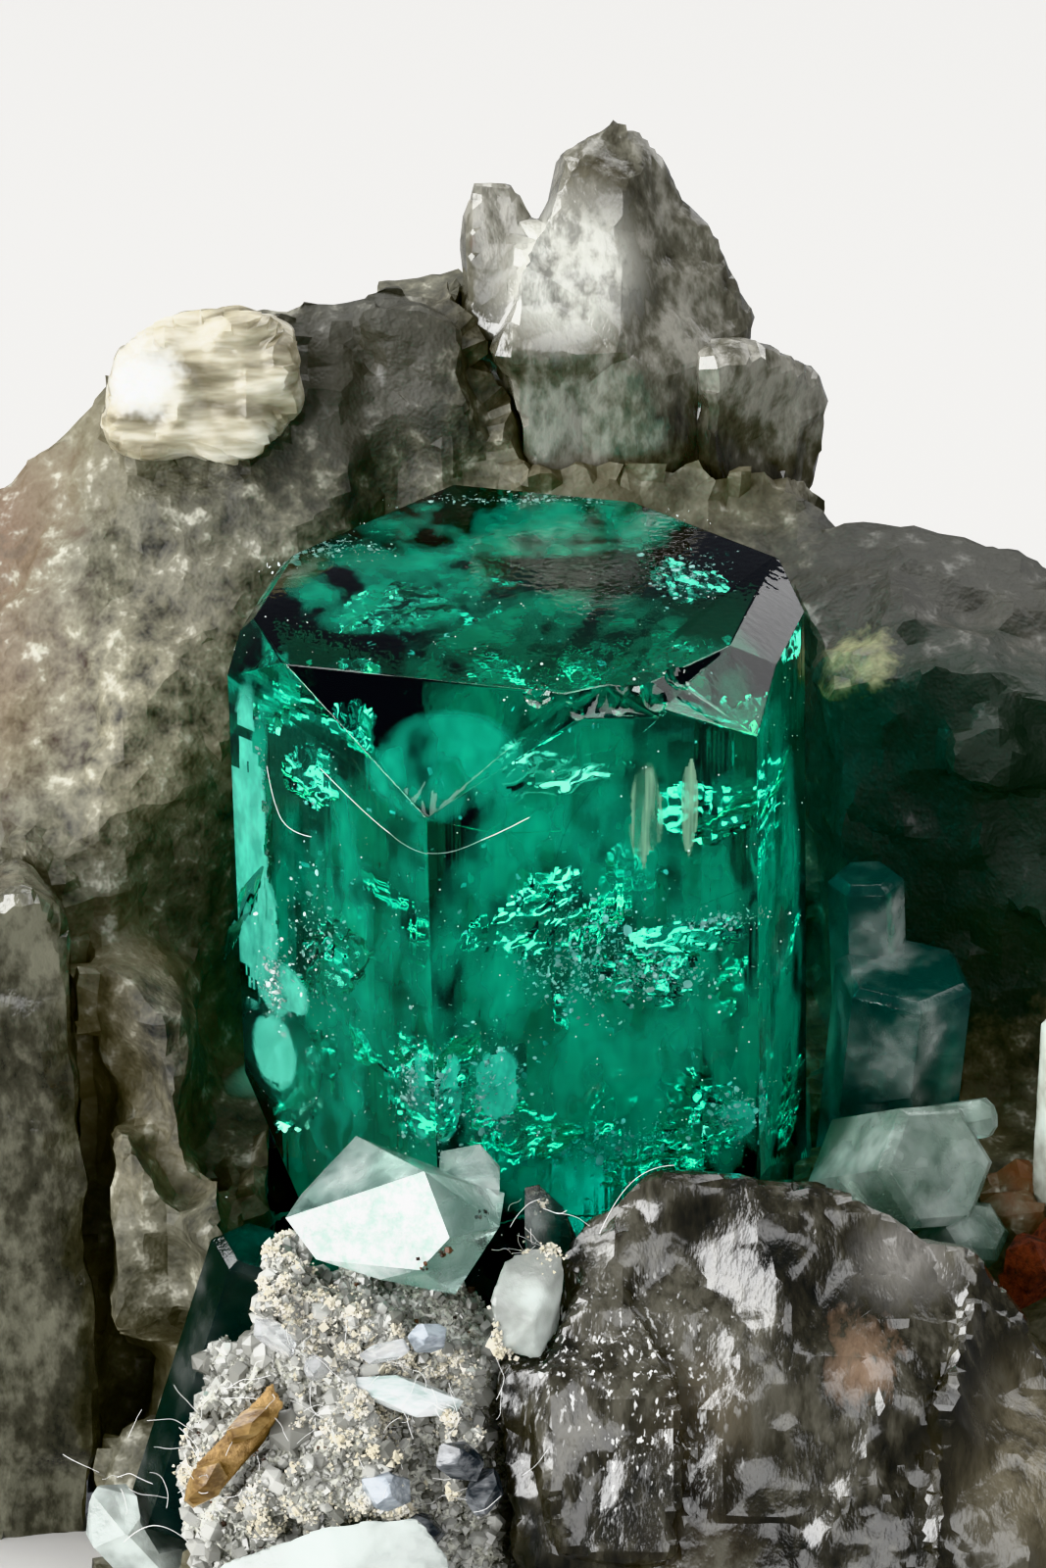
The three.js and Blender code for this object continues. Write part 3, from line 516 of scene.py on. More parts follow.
# Each feather, a healed crack that mirrors light at a slant: middle, width and height in millimetres, turn
# about Z and lean back in degrees, and ripple in millimetres.
FEATHERS = [
    ((1.0, -3.4, 15.9), (3.8, 3.8), 14, 58, 0.7),
    ((2.4, -3.1, 15.3), (2.8, 2.4), 24, 66, 0.6),
    ((0.1, -3.9, 16.9), (2.4, 2.6), -10, 52, 0.5),
    ((3.4, -3.5, 16.2), (2.6, 1.3), 18, 62, 0.25),
    ((-1.7, -4.2, 13.2), (1.8, 3.0), -20, 50, 0.5),
    ((-0.5, -3.9, 12.2), (1.8, 2.8), 20, 58, 0.6),
    ((4.0, -2.9, 11.8), (1.6, 2.2), 20, 56, 0.5),
    ((2.6, -2.8, 10.7), (2.6, 1.6), 10, 62, 0.6),
    ((-3.2, -2.6, 15.4), (2.2, 3.0), -58, 40, 0.6),
    ((-4.1, -2.5, 12.2), (1.8, 3.4), -60, 40, 0.5),
    ((-5.2, -1.9, 17.2), (0.9, 6.4), -70, 20, 0.2),
    ((3.3, 1.9, 20.6), (1.8, 2.6), 60, 60, 0.5),
    ((-3.6, 2.9, 20.9), (3.2, 1.4), 35, 66, 0.4),
    ((0.7, -4.4, 20.2), (3.2, 1.6), 10, 48, 0.3),
]
LOOSE_FEATHERS = 20
FEATHER_STEPS = 36
# White clouds of crumbs along healed cracks: middle, half sizes in millimetres, and number of crumbs.
CLOUDS = [
    ((1.1, -3.7, 15.9), (1.2, 0.5, 1.0), 900),
    ((2.6, -3.4, 15.3), (1.0, 0.4, 0.5), 500),
    ((3.9, -3.2, 16.4), (0.9, 0.25, 0.16), 200),
    ((-1.8, -4.3, 13.0), (0.35, 0.3, 0.9), 500),
    ((-0.7, -4.1, 12.9), (0.5, 0.4, 1.0), 500),
    ((4.3, -2.8, 11.7), (0.4, 0.3, 0.5), 250),
    ((2.0, -3.0, 11.2), (1.6, 0.5, 0.5), 500),
    ((-5.0, -2.0, 17.0), (0.1, 0.1, 2.2), 500),
    ((-4.9, -2.4, 14.4), (0.35, 0.35, 0.7), 500),
    ((-4.0, -2.9, 15.6), (0.8, 0.5, 1.6), 260),
    ((3.4, 1.8, 21.0), (0.7, 0.9, 0.3), 260),
    ((-3.9, 2.9, 21.2), (1.0, 0.4, 0.3), 260),
    ((0.3, 5.3, 21.4), (2.4, 0.2, 0.25), 300),
    ((0.0, -1.0, 14.0), (3.5, 2.6, 4.0), 500),
]
# Milky veils, partly painted glow: their strong green and the large sheets across the body stand for the
# green light inside the stone. Middle, width and height in millimetres, turn about Z, lean back and ripple.
VEILS = [
    ((0.6, -2.7, 14.5), (7.5, 12.5), 8, 4, 0.9),
    ((-3.3, -1.7, 14.5), (4.4, 12.5), -58, 4, 0.8),
    ((4.2, -0.6, 14.0), (4.6, 12.0), 56, 4, 0.8),
    ((0.8, 1.8, 14.0), (8.0, 13.0), 0, 4, 1.2),
    ((0.2, 4.4, 20.6), (8.6, 3.0), 0, 50, 0.5),
    ((-2.6, 2.0, 20.0), (5.4, 4.6), 30, 75, 0.6),
    ((-1.4, -4.0, 20.2), (3.6, 2.4), 0, 25, 0.4),
    ((-5.0, -1.5, 17.2), (1.2, 8.0), -75, 5, 0.2),
]
# The bright mint rim at the left, veils that stand in for light reflected inside the stone there as painted
# light, and the frosted patches low in the stone, given as the veils are.
RIM = [
    ((-5.4, -1.95, 17.3), (1.4, 9.0), -46, 1, 0.25),
    ((-5.25, -2.1, 15.6), (1.5, 3.6), -46, 2, 0.3),
    ((-4.8, -2.6, 14.3), (1.9, 1.6), -46, 2, 0.3),
    ((-5.0, -2.4, 12.8), (1.6, 2.2), -46, 2, 0.2),
    ((-1.6, -4.3, 13.0), (0.8, 2.4), -15, 15, 0.4),
    ((-0.6, -4.2, 13.2), (1.3, 2.0), 12, 15, 0.4),
    ((4.4, -2.9, 11.6), (1.0, 1.2), 20, 10, 0.3),
]
# Growth tubes seen as beige bands, given as the veils are.
BANDS = [((2.45, -3.7, 19.0), (0.9, 2.9), 8, 0, 0.1), ((3.35, -3.5, 19.2), (0.45, 3.0), 8, 0, 0.05)]
# The clean edges of cracks that reach the surface, each as its bends.
CRACKS = [
    [(3.0, -3.95, 21.5), (2.1, -4.3, 20.8), (1.4, -4.5, 19.9), (0.8, -4.7, 19.1), (0.6, -4.75, 18.0)],
    [(0.8, -4.7, 19.1), (-0.3, -5.1, 19.2), (-1.2, -5.3, 19.5), (-2.0, -5.45, 19.8)],
    [(2.9, -3.3, 16.6), (3.7, -3.2, 16.8), (4.6, -2.9, 17.1)],
    [(4.9, -2.6, 20.6), (4.85, -2.7, 17.0), (4.9, -2.7, 13.0)],
]
SKIN_THICKNESS = 0.008 * MM


def emerald_glass():
    paint = Finish("emerald")
    lines = paint.noise(0.14 * MM, 0, place=paint.moved(Scale=(1, 1, 0.015)))
    bump = paint.bump(lines, 0.005 * MM)
    frost = paint.near((-5.2, -3.0, 12.8), 1.0, 2.0)
    skin = paint.node(
        "BsdfPrincipled", None, Base_Color=(1, 1, 1, 1), Transmission_Weight=1.0, Specular_IOR_Level=0.24,
        Roughness=frost * 0.35 + 0.01, IOR=EMERALD_IOR, Normal=bump,
    )
    inside = paint.node("VolumeAbsorption", None, Color=(*EMERALD_TINT, 1), Density=EMERALD_DENSITY)
    paint.surface(inside, "Volume")
    return paint.surface(skin)


def feather_skin():
    """Air in a crack: clear where it is seen straight on, and a mirror where it is seen at a slant."""
    paint = Finish("emerald feathers")
    mirror = paint.node("BsdfGlossy", None, Color=(0.22, 0.85, 0.62, 1), Roughness=0.08)
    clear = paint.node("BsdfTransparent", None)
    slant = paint.node("Fresnel", None, IOR=1 / EMERALD_IOR)
    return paint.surface(paint.node("MixShader", None, slant, clear, mirror))


def veil_skin(name, colour, size, thinnest, thickest, passing=0.5, stretch=0.5):
    """A cloud of the finest fluid drops, which glows in the light, with soft holes."""
    paint = Finish(name)
    drops = paint.node("BsdfDiffuse", None, Color=(*colour, 1))
    passed = paint.node("BsdfTranslucent", None, Color=(*colour, 1))
    milk = paint.node("MixShader", None, passing, drops, passed)
    clear = paint.node("BsdfTransparent", None)
    drawn = paint.moved(Scale=(1, 1, stretch))
    cloud = paint.noise(size, 2, 0.62, place=drawn).between(0.4, 0.66)
    thick = (cloud * (thickest - thinnest) + thinnest) * (paint.tint("edge") * 3).clamped()
    return paint.surface(paint.node("MixShader", None, thick, clear, milk))


def crumb_skin():
    paint = Finish("emerald crumbs")
    skin = paint.node("BsdfPrincipled", None, Base_Color=(0.93, 1, 0.97, 1), Roughness=0.3, Metallic=0.3)
    return paint.surface(skin)


def feather(middle, size, turn, lean, ripple, torn=True):
    """A rippled sheet that leans back by this many degrees and turns about Z. A torn one has a ragged edge,
    and another is round. The edge value on its points fades from its middle to its rim."""
    bpy.ops.mesh.primitive_grid_add(x_subdivisions=FEATHER_STEPS, y_subdivisions=FEATHER_STEPS, size=1)
    made = bpy.context.object
    for face in made.data.polygons:
        across, along, _ = face.center
        place = Vector((across * size[0], along * size[1], middle[0] + middle[2]))
        kept_by = noise.fractal(place * 1.3, 0.8, 2.2, 4) if torn else 0.1
        face.select = kept_by < 5 * math.hypot(across, along) - 2
    edge = made.data.attributes.new("edge", "FLOAT", "POINT")
    edge.data.foreach_set(
        "value", [max(0, 1 - 5.6 * (p.co.x ** 2 + p.co.y ** 2)) for p in made.data.vertices]
    )
    bpy.ops.object.mode_set(mode="EDIT")
    bpy.ops.mesh.select_mode(type="FACE")
    bpy.ops.mesh.delete(type="FACE")
    bpy.ops.object.mode_set(mode="OBJECT")
    made.location = spot(*middle)
    made.rotation_euler = (math.radians(90 - lean), 0, math.radians(turn))
    made.scale = (size[0] * MM, size[1] * MM, 1)
    bpy.ops.object.transform_apply()
    broken(made, "CLOUDS", 1.1 * MM, ripple * MM)
    broken(made, "FACETS", 0.6 * MM, 0.3 * ripple * MM)
    return made


def together(pieces, name):
    take(pieces[0])
    for piece in pieces:
        piece.select_set(True)
    bpy.ops.object.join()
    pieces[0].name = name
    return pieces[0]


def thin_skins(sheets, name, material):
    """Sheets joined as one piece, each with a wall of its own."""
    piece = together(sheets, name)
    worked(piece, "SOLIDIFY", thickness=SKIN_THICKNESS, offset=0)
    return finished(piece, material, "emerald", smooth=60)


def scattered(name, shape, places, sizes, seed):
    """Copies of a small shape as one mesh, each turned by chance. A copy's tint is kept on its points."""
    chance = np.random.default_rng(seed)
    corners = np.array([v.co for v in shape.data.vertices])
    faces = [tuple(p.vertices) for p in shape.data.polygons]
    turns, _ = np.linalg.qr(chance.normal(size=(len(places), 3, 3)))
    turns *= np.sign(np.linalg.det(turns))[:, None, None]
    sizes = np.broadcast_to(np.asarray(sizes).reshape(len(places), -1), (len(places), 3))
    points = np.einsum("nij,ncj->nci", turns, corners[None] * sizes[:, None]) + np.asarray(places)[:, None]
    mesh = bpy.data.meshes.new(name)
    step = len(corners)
    all_faces = [[i * step + corner for corner in face] for i in range(len(places)) for face in faces]
    mesh.from_pydata(points.reshape(-1, 3), [], all_faces)
    tint = mesh.attributes.new("tint", "FLOAT", "POINT")
    tint.data.foreach_set("value", np.repeat(chance.random(len(places)), step))
    bpy.data.objects.remove(shape)
    piece = bpy.data.objects.new(name, mesh)
    bpy.context.collection.objects.link(piece)
    return piece


emerald = grown_from("emerald_crystal", "emerald")
worked(emerald, "BEVEL", width=0.045 * MM, segments=2, limit_method="ANGLE", angle_limit=math.radians(12))
for number, (middle, half) in enumerate(CHIPS):
    bpy.ops.mesh.primitive_ico_sphere_add(subdivisions=4, radius=1, location=spot(*middle))
    scoop = bpy.context.object
    scoop.scale = [h * MM for h in half]
    scoop.rotation_euler = (0.3 * number, 0.2, number)
    bpy.ops.object.transform_apply()
    broken(scoop, "CLOUDS", 0.45 * MM, 0.16 * MM)
    worked(emerald, "BOOLEAN", operation="DIFFERENCE", object=scoop, solver="EXACT")
    bpy.data.objects.remove(scoop)
finished(emerald, emerald_glass(), "emerald", "emerald_crystal", smooth=14)

chance = np.random.default_rng(12)
loose = []
while len(loose) < LOOSE_FEATHERS:
    right, back, up = chance.uniform((-4.4, -4.0, 8.5), (4.4, 3.6, 20.5))
    if math.hypot(right, back) < 4.3:
        size = chance.uniform(0.8, 3.0, 2)
        turn, lean, ripple = chance.uniform(-70, 70), chance.uniform(40, 75), chance.uniform(0.3, 0.8)
        loose.append(((right, back, up), size, turn, lean, ripple))
thin_skins([feather(*each) for each in FEATHERS + loose], "emerald_feathers", feather_skin())
# Painted glow: the veils are coloured strong green.
thin_skins(
    [feather(*each, torn=False) for each in VEILS], "emerald_veils",
    veil_skin("emerald veils", (0.07, 0.84, 0.6), 1.1 * MM, 0, 0.75),
)
# Painted light: the rim veils are bright mint, standing in for the reflection at the left rim.
thin_skins(
    [feather(*each) for each in RIM], "emerald_rim_veils",
    veil_skin("emerald rim veils", (0.22, 1.0, 0.76), 0.35 * MM, 0.6, 1.0, 0.1),
)
thin_skins(
    [feather(*each) for each in BANDS], "emerald_growth_tubes",
    veil_skin("emerald growth tubes", (0.95, 0.95, 0.7), 0.22 * MM, 0.1, 0.85, 0.2, 0.05),
)

bpy.ops.mesh.primitive_ico_sphere_add(subdivisions=1, radius=1)
crumb_places = []
for middle, half, count in CLOUDS:
    near = chance.normal(size=(count, 3)) * 0.6
    near[:, 1] += 0.5 * np.sin(3 * near[:, 0]) * np.cos(2 * near[:, 2])
    crumb_places.append(np.array(spot(*middle)) + near * np.array(half) * MM)
crumb_places = np.concatenate(crumb_places)
crumb_sizes = np.exp(chance.normal(-3.6, 0.55, len(crumb_places)))[:, None] * MM * np.array([[1, 0.8, 0.12]])
crumbs = scattered("emerald_crumbs", bpy.context.object, crumb_places, crumb_sizes, 5)
finished(crumbs, crumb_skin(), "emerald")


# The sugary crust at the front left: thousands of small clear and milky quartz grains grown on a lumpy mass.
# Between them lie cream powder, two golden tablets, a streaky white slab, grey blue lumps and dark chips.
CRUST_CRYSTALS = 2600
SUGAR_GRAINS = 22000
POWDER_GRAINS = 13000
# Where the powder lies: middle and half sizes in millimetres.
POWDER = [
    ((-3.9, -8.9, 10.2), (0.9, 0.6, 0.5)), ((-2.9, -9.3, 9.4), (0.8, 0.6, 0.6)),
    ((-2.9, -9.6, 8.0), (1.1, 0.6, 0.4)), ((-1.9, -9.2, 9.2), (0.8, 0.5, 0.4)),
    ((-4.6, -8.4, 10.9), (0.6, 0.5, 0.4)), ((0.5, -7.8, 11.1), (0.3, 0.3, 0.12)),
    ((0.9, -6.9, 11.8), (0.1, 0.2, 0.03)), ((-1.2, -9.0, 9.0), (0.5, 0.4, 0.4)),
    ((-6.9, -9.3, 6.6), (0.5, 0.5, 0.4)), ((-2.4, -10.4, 6.6), (0.9, 0.4, 0.3)),
    ((-5.1, -10.2, 6.2), (0.8, 0.4, 0.4)), ((-5.1, -6.6, 11.2), (0.6, 0.5, 0.4)),
]
# Chunks in the crust: middle, half sizes, turn about X, Y and Z in degrees, and finish.
CHUNKS = [
    ((-2.3, -9.2, 8.55), (1.35, 0.5, 0.3), (25, 12, -8), "slab"),
    ((-2.7, -10.1, 6.85), (0.62, 0.5, 0.5), (10, 20, 30), "blue"),
    ((-1.85, -8.9, 9.7), (0.45, 0.35, 0.4), (30, 0, 20), "blue"),
    ((-2.7, -9.5, 9.75), (0.55, 0.3, 0.22), (20, -15, 10), "clear"),
    ((-4.9, -9.2, 9.9), (0.6, 0.32, 0.3), (15, 25, -20), "clear"),
    ((-4.1, -9.4, 9.3), (0.35, 0.25, 0.3), (0, 30, 40), "clear"),
    ((-1.2, -10.0, 7.5), (0.65, 0.4, 0.5), (20, 35, 10), "dark"),
    ((-0.7, -9.9, 6.7), (0.5, 0.4, 0.6), (0, 20, 50), "dark"),
    ((-1.9, -10.2, 6.0), (0.5, 0.4, 0.3), (0, 40, 0), "dark"),
    ((-6.35, -9.95, 6.9), (0.42, 0.3, 0.75), (10, 32, 10), "gold"),
    ((-5.5, -9.7, 8.15), (0.3, 0.3, 0.62), (-10, 55, 0), "gold"),
]


def cut_stone(middle, half, turn, cuts, seed):
    """A ball cut by flat faces all round and bevelled."""
    chance = np.random.default_rng(seed)
    bpy.ops.mesh.primitive_ico_sphere_add(subdivisions=3, radius=1)
    made = bpy.context.object
    bpy.ops.object.mode_set(mode="EDIT")
    for number in range(cuts):
        height = 1 - (2 * number + 1) / cuts
        around = number * 2.4 + chance.uniform(0, 0.6)
        ring = math.sqrt(1 - height * height)
        way = Vector((ring * math.cos(around), ring * math.sin(around), height))
        bpy.ops.mesh.select_all(action="SELECT")
        bpy.ops.mesh.bisect(
            plane_co=way * chance.uniform(0.62, 0.84), plane_no=way, use_fill=True, clear_outer=True,
            threshold=1e-5,
        )
    bpy.ops.object.mode_set(mode="OBJECT")
    made.location = spot(*middle)
    made.scale = [h * MM for h in half]
    made.rotation_euler = [math.radians(t) for t in turn]
    bpy.ops.object.transform_apply()
    worked(made, "BEVEL", width=0.02 * MM, segments=1, limit_method="ANGLE", angle_limit=math.radians(25))
    return made


def crystal_grain(name, tints, transmission, roughness):
    """Small grains, each with a shade of its own between two colours, darker in some parts of the crust."""
    paint = Finish(name)
    colour = paint.blend(paint.tint(), *tints)
    parts = paint.noise(1.5 * MM, 2).between(0.5, 0.62) * 0.8
    colour = paint.blend(parts, colour, tints[0])
    skin = paint.node(
        "BsdfPrincipled", None, Base_Color=colour, Roughness=roughness, IOR=1.54,
        Transmission_Weight=transmission,
    )
    return paint.surface(skin)


def small_pyramid():
    """The shape of the smallest grains."""
    bpy.ops.mesh.primitive_cone_add(vertices=4, radius1=1.15, depth=1.9)
    return bpy.context.object


def small_bead():
    """The shape of dust and specks."""
    bpy.ops.mesh.primitive_uv_sphere_add(segments=4, ring_count=3, radius=1)
    return bpy.context.object


def six_sided_grain():
    bpy.ops.mesh.primitive_uv_sphere_add(segments=6, ring_count=3, radius=1)
    return bpy.context.object


def surface_places(piece, count, seed, keep):
    """Chance places all over a piece, as many to each bit of its surface, where keep says yes."""
    chance = np.random.default_rng(seed)
    faces = [p for p in piece.data.polygons if keep(p.center)]
    areas = np.array([p.area for p in faces])
    picked = chance.choice(len(faces), count, p=areas / areas.sum())
    points = points_of(piece)
    places = []
    for index in picked:
        corners = points[list(faces[index].vertices)]
        places.append(chance.dirichlet(np.ones(len(corners))) @ corners)
    return np.array(places)


crust = grown_from("quartz_crust", "crust_mass")
worked(crust, "REMESH", mode="VOXEL", voxel_size=0.16 * MM)
broken(crust, "CLOUDS", 1.3 * MM, 0.5 * MM)
broken(crust, "CRACKS", 0.55 * MM, 0.35 * MM)
seen_side = spot(0, -6.0, 0).y
chance = np.random.default_rng(22)
for name, count, size, seed, shape, clear_share in (
    ("crust_crystals", CRUST_CRYSTALS, -2.1, 3, six_sided_grain, 0.25),
    ("crust_sugar", SUGAR_GRAINS, -3.05, 2, small_pyramid, 0.0),
):
    grain_places = surface_places(
        crust, count, seed, lambda at: at.y < seen_side and at.z > base_z + 3.2 * MM
    )
    grain_sizes = np.exp(chance.normal(size, 0.4, count))[:, None] * MM * chance.uniform(0.5, 1.3, (count, 3))
    grains = scattered(name, shape(), grain_places, grain_sizes, seed)
    in_box(grains)
    grain_paint = crystal_grain(name, [(0.2, 0.2, 0.175), (0.75, 0.75, 0.7)], clear_share, 0.12)
    finished(grains, grain_paint, "sugary_quartz")


def crust_rock():
    paint = Finish("crust rock")
    fine = paint.noise(0.35 * MM, 3, 0.7)
    colour = paint.node(
        "ValToRGB",
        {"stops": [(0.35, (0.06, 0.06, 0.05)), (0.46, (0.36, 0.36, 0.3)), (0.58, (0.7, 0.7, 0.62))]}, fine,
    )
    relief = paint.bump(fine, 0.1 * MM)
    skin = paint.node("BsdfPrincipled", None, Base_Color=colour, Roughness=0.4, Normal=relief)
    return paint.surface(skin)


finished(crust, crust_rock(), "sugary_quartz", "quartz_crust")

chance = np.random.default_rng(31)
powder_places = []
patch_sizes = np.array([half[0] * half[2] for _, half in POWDER])
while len(powder_places) < POWDER_GRAINS:
    middle, half = POWDER[chance.choice(len(POWDER), p=patch_sizes / patch_sizes.sum())]
    place = spot(*(np.array(middle) + chance.normal(size=3) * 0.7 * half))
    if noise.fractal(place / (0.5 * MM), 1, 2, 3) > -0.1:
        powder_places.append(place)
powdered = [crust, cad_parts["white_quartz_front"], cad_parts["clear_quartz_front"]]
trees = [tree_of(piece.data) for piece in powdered]
powder_places = [
    min((tree.find_nearest(place) for tree in trees), key=lambda found: found[3])[0]
    for place in powder_places
]
lifts = chance.normal(size=(POWDER_GRAINS, 3)) * 0.05 * MM
powder_sizes = np.exp(chance.normal(-3.55, 0.45, POWDER_GRAINS)) * MM
powder = scattered("cream_powder", small_pyramid(), powder_places + lifts, powder_sizes, 33)
powder_paint = crystal_grain("cream powder", [(0.68, 0.62, 0.46), (0.95, 0.92, 0.84)], 0.0, 0.7)
finished(powder, powder_paint, "calcite")


def chunk_finish(name, dark, light, transmission, roughness):
    paint = Finish(name)
    drawn = paint.moved(Rotation=(0.3, 0.2, 0.4), Scale=(0.35, 1, 1))
    streaks = paint.noise(0.3 * MM, 3, 0.7, place=drawn)
    colour = paint.blend(streaks.between(0.4, 0.62), dark, light)
    skin = paint.node(
        "BsdfPrincipled", None, Base_Color=colour, Roughness=roughness, IOR=1.54,
        Transmission_Weight=transmission, Normal=paint.bump(streaks, 0.03 * MM),
    )
    return paint.surface(skin)


# Each kind of chunk: finish, dark and light colour, share of clear, roughness and slot.
CHUNK_KINDS = {
    "slab": ("streaky white quartz", (0.46, 0.56, 0.53), (0.9, 0.92, 0.92), 0.1, 0.3, "milky_quartz"),
    "blue": ("grey blue quartz", (0.3, 0.34, 0.38), (0.66, 0.72, 0.78), 0.3, 0.2, "milky_quartz"),
    "clear": ("rounded clear quartz", (0.7, 0.72, 0.72), (0.95, 0.96, 0.96), 0.7, 0.12, "clear_quartz"),
    "dark": ("dark chips", (0.04, 0.045, 0.05), (0.2, 0.21, 0.22), 0.1, 0.18, "smoky_quartz"),
    "gold": ("golden tablets", (0.14, 0.08, 0.03), (0.4, 0.26, 0.1), 0.2, 0.3, "ochre"),
}
for kind, (*look, chunk_slot) in CHUNK_KINDS.items():
    chunks = [
        cut_stone(middle, half, turn, 13, 40 + number)
        for number, (middle, half, turn, chunk_kind) in enumerate(CHUNKS) if chunk_kind == kind
    ]
    finished(together(chunks, f"crust_{kind}_chunks"), chunk_finish(*look), chunk_slot, smooth=20)


# The pale beryls, clear and milky quartz chips, and the ochre and rust patches round the emerald's foot.
# They are half clear, with bevelled edges, and the front beryl has one rough white face.
def half_clear(name, tint, density, roughness, cloud, rough_way=None):
    """A clear stone with milky clouds. A face that looks the rough way is broken and white."""
    paint = Finish(name)
    fine = paint.noise(0.22 * MM, 3, 0.7)
    bump = paint.bump(fine, 0.02 * MM)
    clear = paint.node(
        "BsdfPrincipled", None, Base_Color=(0.97, 1, 0.98, 1), Transmission_Weight=1.0, Roughness=roughness,
        IOR=1.57, Specular_IOR_Level=0.35, Normal=bump,
    )
    milk = paint.noise(1.4 * MM, 3, 0.55).between(0.4, 0.7)
    milky = paint.node(
        "BsdfPrincipled", None, Base_Color=paint.blend(milk, tint, (0.86, 0.95, 0.9)), Roughness=0.3,
        Normal=bump,
    )
    stone = paint.node("MixShader", None, milk * cloud[1] + cloud[0], clear, milky)
    if rough_way:
        normal = paint.node("NewGeometry").out("Normal")
        way = Vector(rough_way).normalized()
        facing = paint.node("VectorMath", {"operation": "DOT_PRODUCT"}, normal, way)
        grit = paint.noise(0.35 * MM, 4, 0.72)
        chalk = paint.blend(grit.between(0.36, 0.56), (0.6, 0.78, 0.7), (1.0, 1.0, 1.0))
        broken_face = paint.node(
            "BsdfPrincipled", None, Base_Color=chalk, Roughness=0.5, Normal=paint.bump(grit, 0.1 * MM)
        )
        rough = facing.out("Value").between(0.95, 0.975) * (0.8 + milk * 0.2)
        stone = paint.node("MixShader", None, rough, stone, broken_face)
    inside = paint.node("VolumeAbsorption", None, Color=(*tint, 1), Density=density)
    paint.surface(inside, "Volume")
    return paint.surface(stone)


def bevelled(node, name, width, ripple):
    piece = grown_from(node, name)
    worked(piece, "BEVEL", width=width * MM, segments=2, limit_method="ANGLE", angle_limit=math.radians(15))
    if ripple:
        worked(piece, "REMESH", mode="VOXEL", voxel_size=0.1 * MM)
        broken(piece, "CLOUDS", 0.5 * MM, ripple * MM)
    return piece


# Each stone: CAD node, piece, slot, bevel and ripple in millimetres, smoothing angle, and then the finish:
# name, tint, absorption, roughness, share of milk with how much it clouds, and which way a rough face looks.
STONES = [
    ("pale_beryl_front", "pale_beryl", "pale_beryl", 0.03, 0, 12,
     ("pale beryl", (0.5, 0.76, 0.68), 300, 0.06, (0.06, 0.3), (-0.24, -0.96, 0.08))),
    ("clear_quartz_front", "clear_quartz_chip", "clear_quartz", 0.02, 0, 12,
     ("clear quartz", (0.5, 0.56, 0.52), 300, 0.05, (0.0, 0.3))),
    ("white_quartz_front", "white_quartz_chip", "milky_quartz", 0.03, 0.06, 30,
     ("white quartz", (0.8, 0.84, 0.78), 150, 0.15, (0.3, 0.5))),
    ("pale_quartz_front_low", "pale_quartz_low", "milky_quartz", 0.04, 0.08, 30,
     ("pale low quartz", (0.74, 0.8, 0.76), 120, 0.15, (0.45, 0.5))),
    ("pale_beryl_right", "pale_beryl_right_group", "pale_beryl", 0.16, 0, 40,
     ("right beryl", (0.42, 0.58, 0.48), 260, 0.12, (0.2, 0.3))),
    ("green_beryl_right", "green_beryl_group", "green_beryl", 0.06, 0, 30,
     ("dark green beryl", (0.03, 0.26, 0.2), 700, 0.12, (0.12, 0.25))),
    ("pale_crystal_right_edge", "pale_edge_crystal", "pale_beryl", 0.05, 0.05, 30,
     ("edge beryl", (0.6, 0.62, 0.5), 200, 0.15, (0.3, 0.5))),
    ("pale_crystal_left_low", "pale_crystal_low_left", "milky_quartz", 0.04, 0, 12,
     ("left low quartz", (0.6, 0.66, 0.62), 150, 0.1, (0.3, 0.5))),
    # Painted shade: the small emerald's dark tint and heavy absorption keep it dark as in shadow.
    ("small_emerald_left", "small_emerald", "emerald", 0.04, 0, 12,
     ("small emerald", (0.01, 0.2, 0.13), 3000, 0.1, (0.03, 0.05))),
]
for node, name, stone_slot, bevel, ripple, smoothing, finish in STONES:
    finished(bevelled(node, name, bevel, ripple), half_clear(*finish), stone_slot, node, smooth=smoothing)


def dull_patch(name, dark, light, size):
    paint = Finish(name)
    fine = paint.noise(size, 5, 0.75)
    colour = paint.blend(fine.between(0.38, 0.62), dark, light)
    relief = paint.bump(fine, 0.15 * MM)
    skin = paint.node("BsdfPrincipled", None, Base_Color=colour, Roughness=0.75, Normal=relief)
    return paint.surface(skin)


ochre_paint = dull_patch("ochre", (0.13, 0.075, 0.03), (0.42, 0.27, 0.11), 0.5 * MM)
finished(bevelled("ochre_flake", "ochre_tablet", 0.03, 0.08), ochre_paint, "ochre", "ochre_flake", smooth=40)
rust_paint = dull_patch("iron rust", (0.02, 0.006, 0.004), (0.13, 0.03, 0.012), 0.3 * MM)
finished(bevelled("rust_patch", "rust", 0.02, 0), rust_paint, "iron_rust", "rust_patch")


# Dust: black and rusty specks on the crust and the front beryl, and fine white hairs that cling to the crust,
# the chips and the emerald's front. The hairs are lint, about a sixtieth of a millimetre thick. The clean
# edges of the emerald's cracks are drawn in the same way.
HAIR = 0.008 * MM
CRACK_EDGE = 1.5 * HAIR
DUST_GRAINS = 420
SPECKS = [(-1.5, -8.9, 11.7), (-1.4, -8.9, 11.75), (-0.8, -8.2, 12.2), (-1.9, -9.0, 11.5), (-5.2, -10.0, 7.6)]
